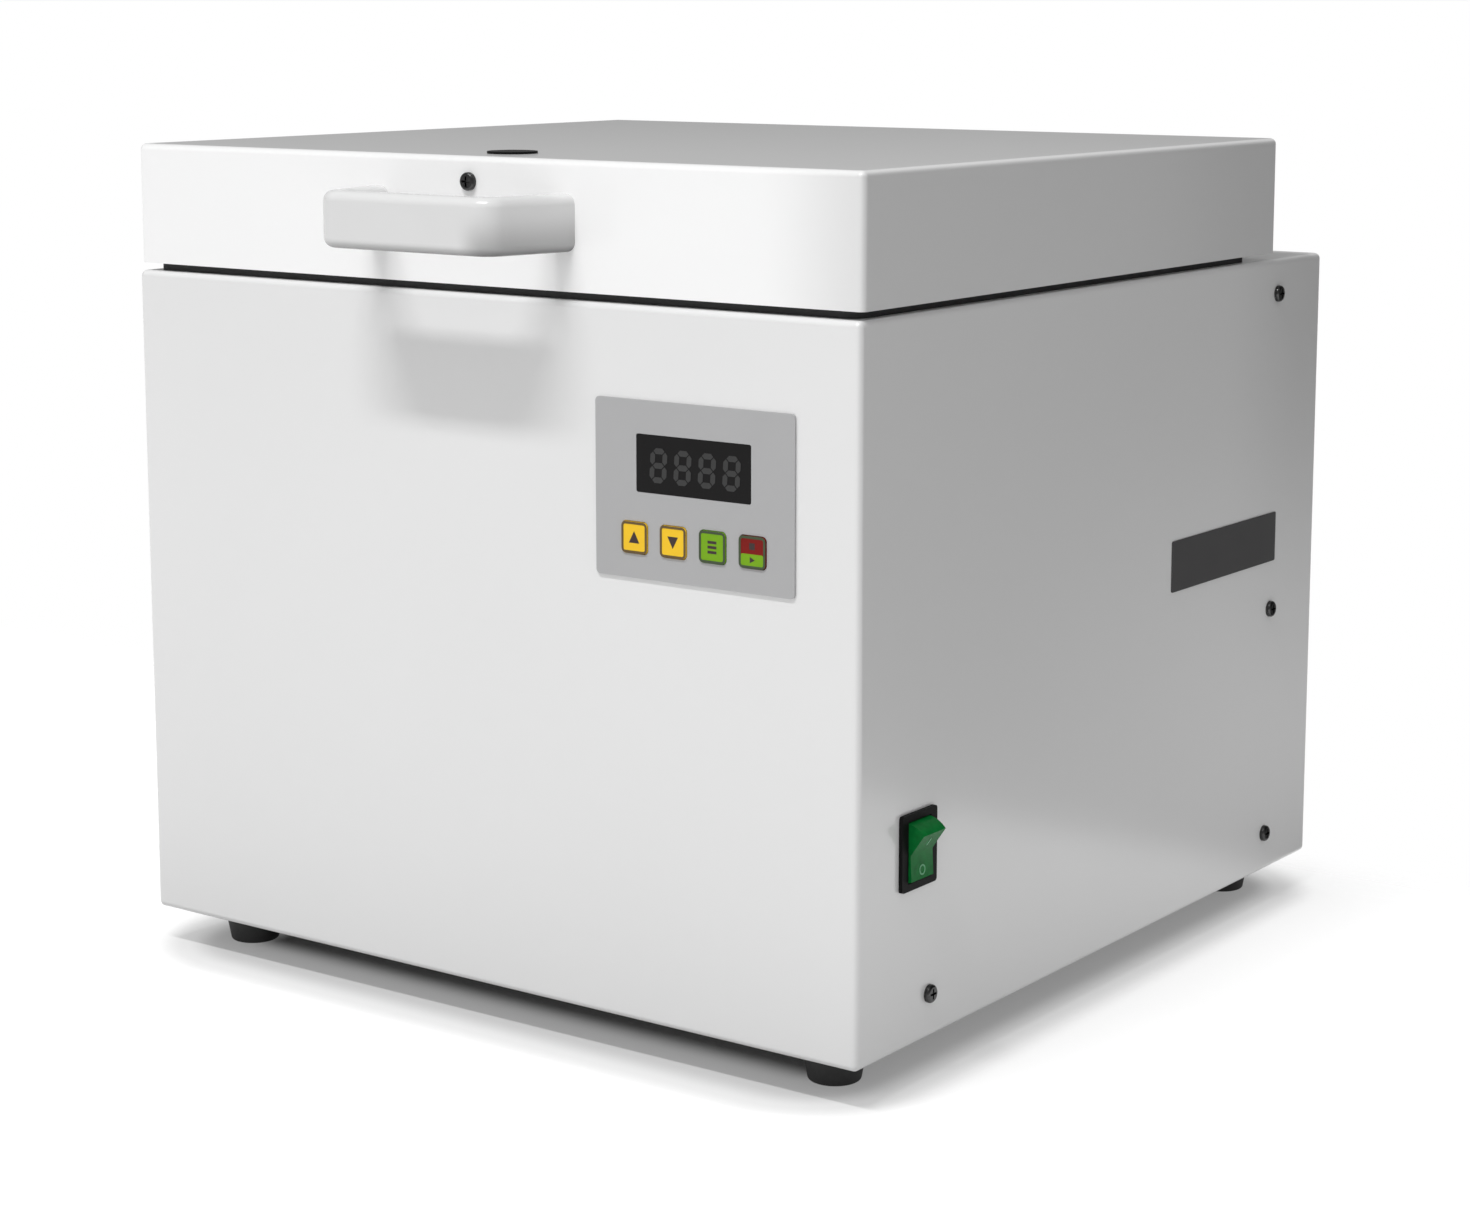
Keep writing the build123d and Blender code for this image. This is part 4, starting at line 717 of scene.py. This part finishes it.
def rocker_face(turn, share):
    """A place on the rocker's upper (1) or lower (-1) face, at a share of the way to its end.
    The rocker's profile is turned about its pivot by the tilt, lower end inwards."""
    cosine, sine = math.cos(ROCKER_TILT), math.sin(ROCKER_TILT)
    out = ROCKER_VALLEY + share * (ROCKER_CREST - ROCKER_VALLEY)
    rise = share * ROCKER_HALF * turn
    along = np.array([turn * (ROCKER_CREST - ROCKER_VALLEY), ROCKER_HALF])
    along = along / np.linalg.norm(along)
    spin = np.array([[cosine, sine], [-sine, cosine]])
    x, z = spin @ np.array([out, rise])
    up = spin @ along
    centre = np.array(ROCKER_PIVOT) + np.array([x, 0.0, z])
    return centre, np.array([(0, 1, 0), (up[0], 0, up[1]), (up[1], 0, -up[0])], float)


def ring_shape(radius, count=28):
    """A circle's points, anticlockwise."""
    turns = np.linspace(0, 2 * np.pi, count, endpoint=False)
    return np.stack([radius * np.cos(turns), radius * np.sin(turns)], 1)


def switch_marks():
    """The moulded ring for off on the lower half and the stroke for on on the upper half."""
    seat = rocker_face(-1, 0.55)
    radii = (2.3, 2.3, 1.6, 1.6)
    rises = (-0.1, 0.15, 0.15, -0.1)
    rings = [put(seat, ring_shape(r), rise) for r, rise in zip(radii, rises)]
    faces = tube_faces(4, len(rings[0]), closed=True)
    add_piece("switch_off_ring", np.concatenate(rings), faces, "rocker_mark", "switch_rocker",
              30.0)
    seat = rocker_face(1, 0.45)
    flat_marks("switch_on_stroke", seat, [bar(0, 0, 0.8, 4.2)], -0.1, 0.25, "rocker_mark",
               "switch_rocker")


switch_marks()


# ---- Room ----
LIGHT_SLOPE = (0.03, -0.19, 0.1)  # how the soft light grows to the right, to the rear and upwards
LIGHT_LEVEL = 0.4
GROUND_SHARE = 0.12  # of the soft light that comes from below the horizon
# The backdrop's grey by height: 0 straight down, 0.5 at the horizon, 1 straight up.
BACKDROP_STEPS = [
    (0.0, 1.0),
    (0.501, 1.0),
    (0.504, 0.02),
    (0.522, 0.1),
    (0.53, 0.3),
    (0.6, 0.3),
    (0.8, 0.45),
]
ROOM_TONE = 0.12  # the darker room's share of the backdrop, in reflections
# The sheet's grey at the cabinet's edge, where it is painted darker as a shadow, far from it, and far
# from it on the right.
FLOOR_NEAR_PAINTED_SHADOW = 0.48
FLOOR_FAR = 0.86
FLOOR_RIGHT = 1.0
# Seen glow of the sheet, lower near the cabinet, which paints a shadow there: from and to a distance
# in metres, and the rise between them.
GLOW_STEPS_PAINTED_SHADOW = (
    (0.0, 0.02, 0.0, 0.22),
    (0.033, 0.05, 0.0, 0.18),
    (0.05, 0.07, 0.0, 0.25),
    (0.08, 0.3, 0.0, -0.1),
)
SHADE_CORE = (0.155, 0.172, 1.0)  # half sizes of the rectangle that these distances start from
SHEET_END = (0.19, 0.27)  # where the sheet thins out behind the cabinet
CAMERA_PLACE = (878.711, -1226.34, 454.812)
CAMERA_TILT = 8.968  # degrees below level
CAMERA_TURN = 35.901  # degrees from the front towards the right side
CAMERA_LENS = 75.516
CAMERA_SHIFT = -0.08


def seen_rays(tree):
    """One for rays of the picture, of reflections and through glass, and none for soft light."""
    path = tree.nodes.new("ShaderNodeLightPath")
    kinds = [path.outputs[f"Is {kind} Ray"] for kind in ("Camera", "Glossy", "Transmission")]
    return link_chain(tree, "MAXIMUM", *kinds)


def studio_world():
    """Soft light that is strongest from the front and from above.
    What is seen is white up to the horizon, dark just above it and greyer higher up. Reflections
    also find a darker room at the back on the right."""
    world = bpy.data.worlds.new("studio")
    bpy.context.scene.world = world
    world.use_nodes = True
    tree = world.node_tree
    tree.nodes.clear()
    way = tree.nodes.new("ShaderNodeTexCoord").outputs["Generated"]
    apart = tree.nodes.new("ShaderNodeSeparateXYZ")
    tree.links.new(way, apart.inputs[0])
    slope = tree.nodes.new("ShaderNodeVectorMath")
    slope.operation = "DOT_PRODUCT"
    slope.inputs[1].default_value = LIGHT_SLOPE
    tree.links.new(way, slope.inputs[0])
    soft = sums(tree, "ADD", slope.outputs["Value"], LIGHT_LEVEL)
    soft = sums(tree, "MULTIPLY", soft, spread_range(tree, apart.outputs["Z"], -0.05, 0.0, GROUND_SHARE))
    height = sums(tree, "MULTIPLY_ADD", apart.outputs["Z"], 0.5)
    height.node.inputs[2].default_value = 0.5
    backdrop_tone = ramp(tree, height, BACKDROP_STEPS)
    room_side = link_chain(tree, "MULTIPLY",
                           spread_range(tree, apart.outputs["X"], 0.05, 0.3),
                           spread_range(tree, apart.outputs["Y"], 0.05, 0.3))
    unseen = sums(tree, "SUBTRACT", 1.0,
                  tree.nodes.new("ShaderNodeLightPath").outputs["Is Camera Ray"])
    dim = sums(tree, "SUBTRACT", 1.0,
               link_chain(tree, "MULTIPLY", room_side, unseen, 1.0 - ROOM_TONE))
    lighting = tree.nodes.new("ShaderNodeBackground")
    backdrop = tree.nodes.new("ShaderNodeBackground")
    tree.links.new(soft, lighting.inputs["Strength"])
    tree.links.new(dim, backdrop.inputs["Strength"])
    tree.links.new(backdrop_tone, backdrop.inputs["Color"])
    lighting.inputs["Color"].default_value = (1, 1, 1, 1)
    mix = tree.nodes.new("ShaderNodeMixShader")
    tree.links.new(seen_rays(tree), mix.inputs[0])
    tree.links.new(lighting.outputs[0], mix.inputs[1])
    tree.links.new(backdrop.outputs[0], mix.inputs[2])
    out = tree.nodes.new("ShaderNodeOutputWorld")
    tree.links.new(mix.outputs[0], out.inputs["Surface"])


def inner_distance(tree, place):
    """The distance in metres from a rectangle well inside the cabinet's outline, none in it."""
    over = tree.nodes.new("ShaderNodeVectorMath")
    over.operation = "ABSOLUTE"
    tree.links.new(place, over.inputs[0])
    beyond = tree.nodes.new("ShaderNodeVectorMath")
    beyond.operation = "SUBTRACT"
    beyond.inputs[1].default_value = SHADE_CORE
    tree.links.new(over.outputs[0], beyond.inputs[0])
    clear = tree.nodes.new("ShaderNodeVectorMath")
    clear.operation = "MAXIMUM"
    clear.inputs[1].default_value = (0, 0, 0)
    tree.links.new(beyond.outputs[0], clear.inputs[0])
    length = tree.nodes.new("ShaderNodeVectorMath")
    length.operation = "LENGTH"
    tree.links.new(clear.outputs[0], length.inputs[0])
    return length.outputs["Value"]


def white_floor():
    """A white sheet that shows as plain white and keeps the soft shadow close to the feet, partly
    cast and partly painted: its grey and its seen glow fall towards the cabinet. It thins out
    behind the cabinet."""
    corners = [(-3, -4, 0), (3, -4, 0), (3, 0.5, 0), (-3, 0.5, 0)]
    mesh = bpy.data.meshes.new("floor")
    mesh.from_pydata(corners, [], [(0, 1, 2, 3)])
    material = bpy.data.materials.new("white_sheet")
    material.use_nodes = True
    tree = material.node_tree
    tree.nodes.clear()
    place = tree.nodes.new("ShaderNodeTexCoord").outputs["Object"]
    distance = inner_distance(tree, place)
    apart = tree.nodes.new("ShaderNodeSeparateXYZ")
    tree.links.new(place, apart.inputs[0])
    sheet = tree.nodes.new("ShaderNodeBsdfDiffuse")
    bounce = spread_range(tree, apart.outputs["X"], 0.2, 0.3, FLOOR_FAR, FLOOR_RIGHT)
    spread = spread_range(tree, distance, 0.05, 0.3)
    # The sheet's grey is painted darker near the cabinet, as a shadow.
    tone = sums(tree, "ADD", FLOOR_NEAR_PAINTED_SHADOW, sums(tree, "MULTIPLY", spread,
                                              sums(tree, "SUBTRACT", bounce, FLOOR_NEAR_PAINTED_SHADOW)))
    tree.links.new(tone, sheet.inputs["Color"])
    glow = tree.nodes.new("ShaderNodeEmission")
    # The seen glow is lower near the cabinet, which paints a shadow there.
    level = link_chain(tree, "ADD", *[spread_range(tree, distance, *step) for step in GLOW_STEPS_PAINTED_SHADOW])
    tree.links.new(sums(tree, "MULTIPLY", seen_rays(tree), level), glow.inputs["Strength"])
    both = tree.nodes.new("ShaderNodeAddShader")
    tree.links.new(sheet.outputs[0], both.inputs[0])
    tree.links.new(glow.outputs[0], both.inputs[1])
    gone = tree.nodes.new("ShaderNodeBsdfTransparent")
    mix = tree.nodes.new("ShaderNodeMixShader")
    ending = spread_range(tree, apart.outputs["Y"], *SHEET_END)
    tree.links.new(sums(tree, "MULTIPLY", ending, seen_rays(tree)), mix.inputs[0])
    tree.links.new(both.outputs[0], mix.inputs[1])
    tree.links.new(gone.outputs[0], mix.inputs[2])
    out = tree.nodes.new("ShaderNodeOutputMaterial")
    tree.links.new(mix.outputs[0], out.inputs["Surface"])
    mesh.materials.append(material)
    floor = bpy.data.objects.new("floor", mesh)
    bpy.context.scene.collection.objects.link(floor)


def area_light(name, way, aim, distance, width, height, watts):
    """A rectangular lamp at a distance from the point it is aimed at."""
    lamp = bpy.data.lights.new(name, "AREA")
    lamp.shape = "RECTANGLE"
    lamp.size = width
    lamp.size_y = height
    lamp.energy = watts
    holder = bpy.data.objects.new(name, lamp)
    way = Vector(way).normalized()
    holder.location = Vector(aim) + way * distance
    holder.rotation_mode = "QUATERNION"
    holder.rotation_quaternion = way.to_track_quat("Z", "Y")
    bpy.context.scene.collection.objects.link(holder)


def camera():
    """The photograph's viewpoint."""
    data = bpy.data.cameras.new("camera")
    data.sensor_width = 36.0
    data.lens = CAMERA_LENS
    data.shift_y = CAMERA_SHIFT
    data.clip_start = 0.05
    data.clip_end = 200.0
    holder = bpy.data.objects.new("camera", data)
    holder.location = Vector(CAMERA_PLACE) * MM
    holder.rotation_euler = (math.radians(90 - CAMERA_TILT), 0.0, math.radians(CAMERA_TURN))
    bpy.context.scene.collection.objects.link(holder)
    bpy.context.scene.camera = holder


studio_world()
white_floor()
area_light("key_light", way=(0.0, -1.0, 1.76), aim=(0, -0.1, 0.25), distance=2.5, width=1.2,
           height=0.12, watts=38.0)
camera()
bpy.context.scene.view_settings.view_transform = "Standard"
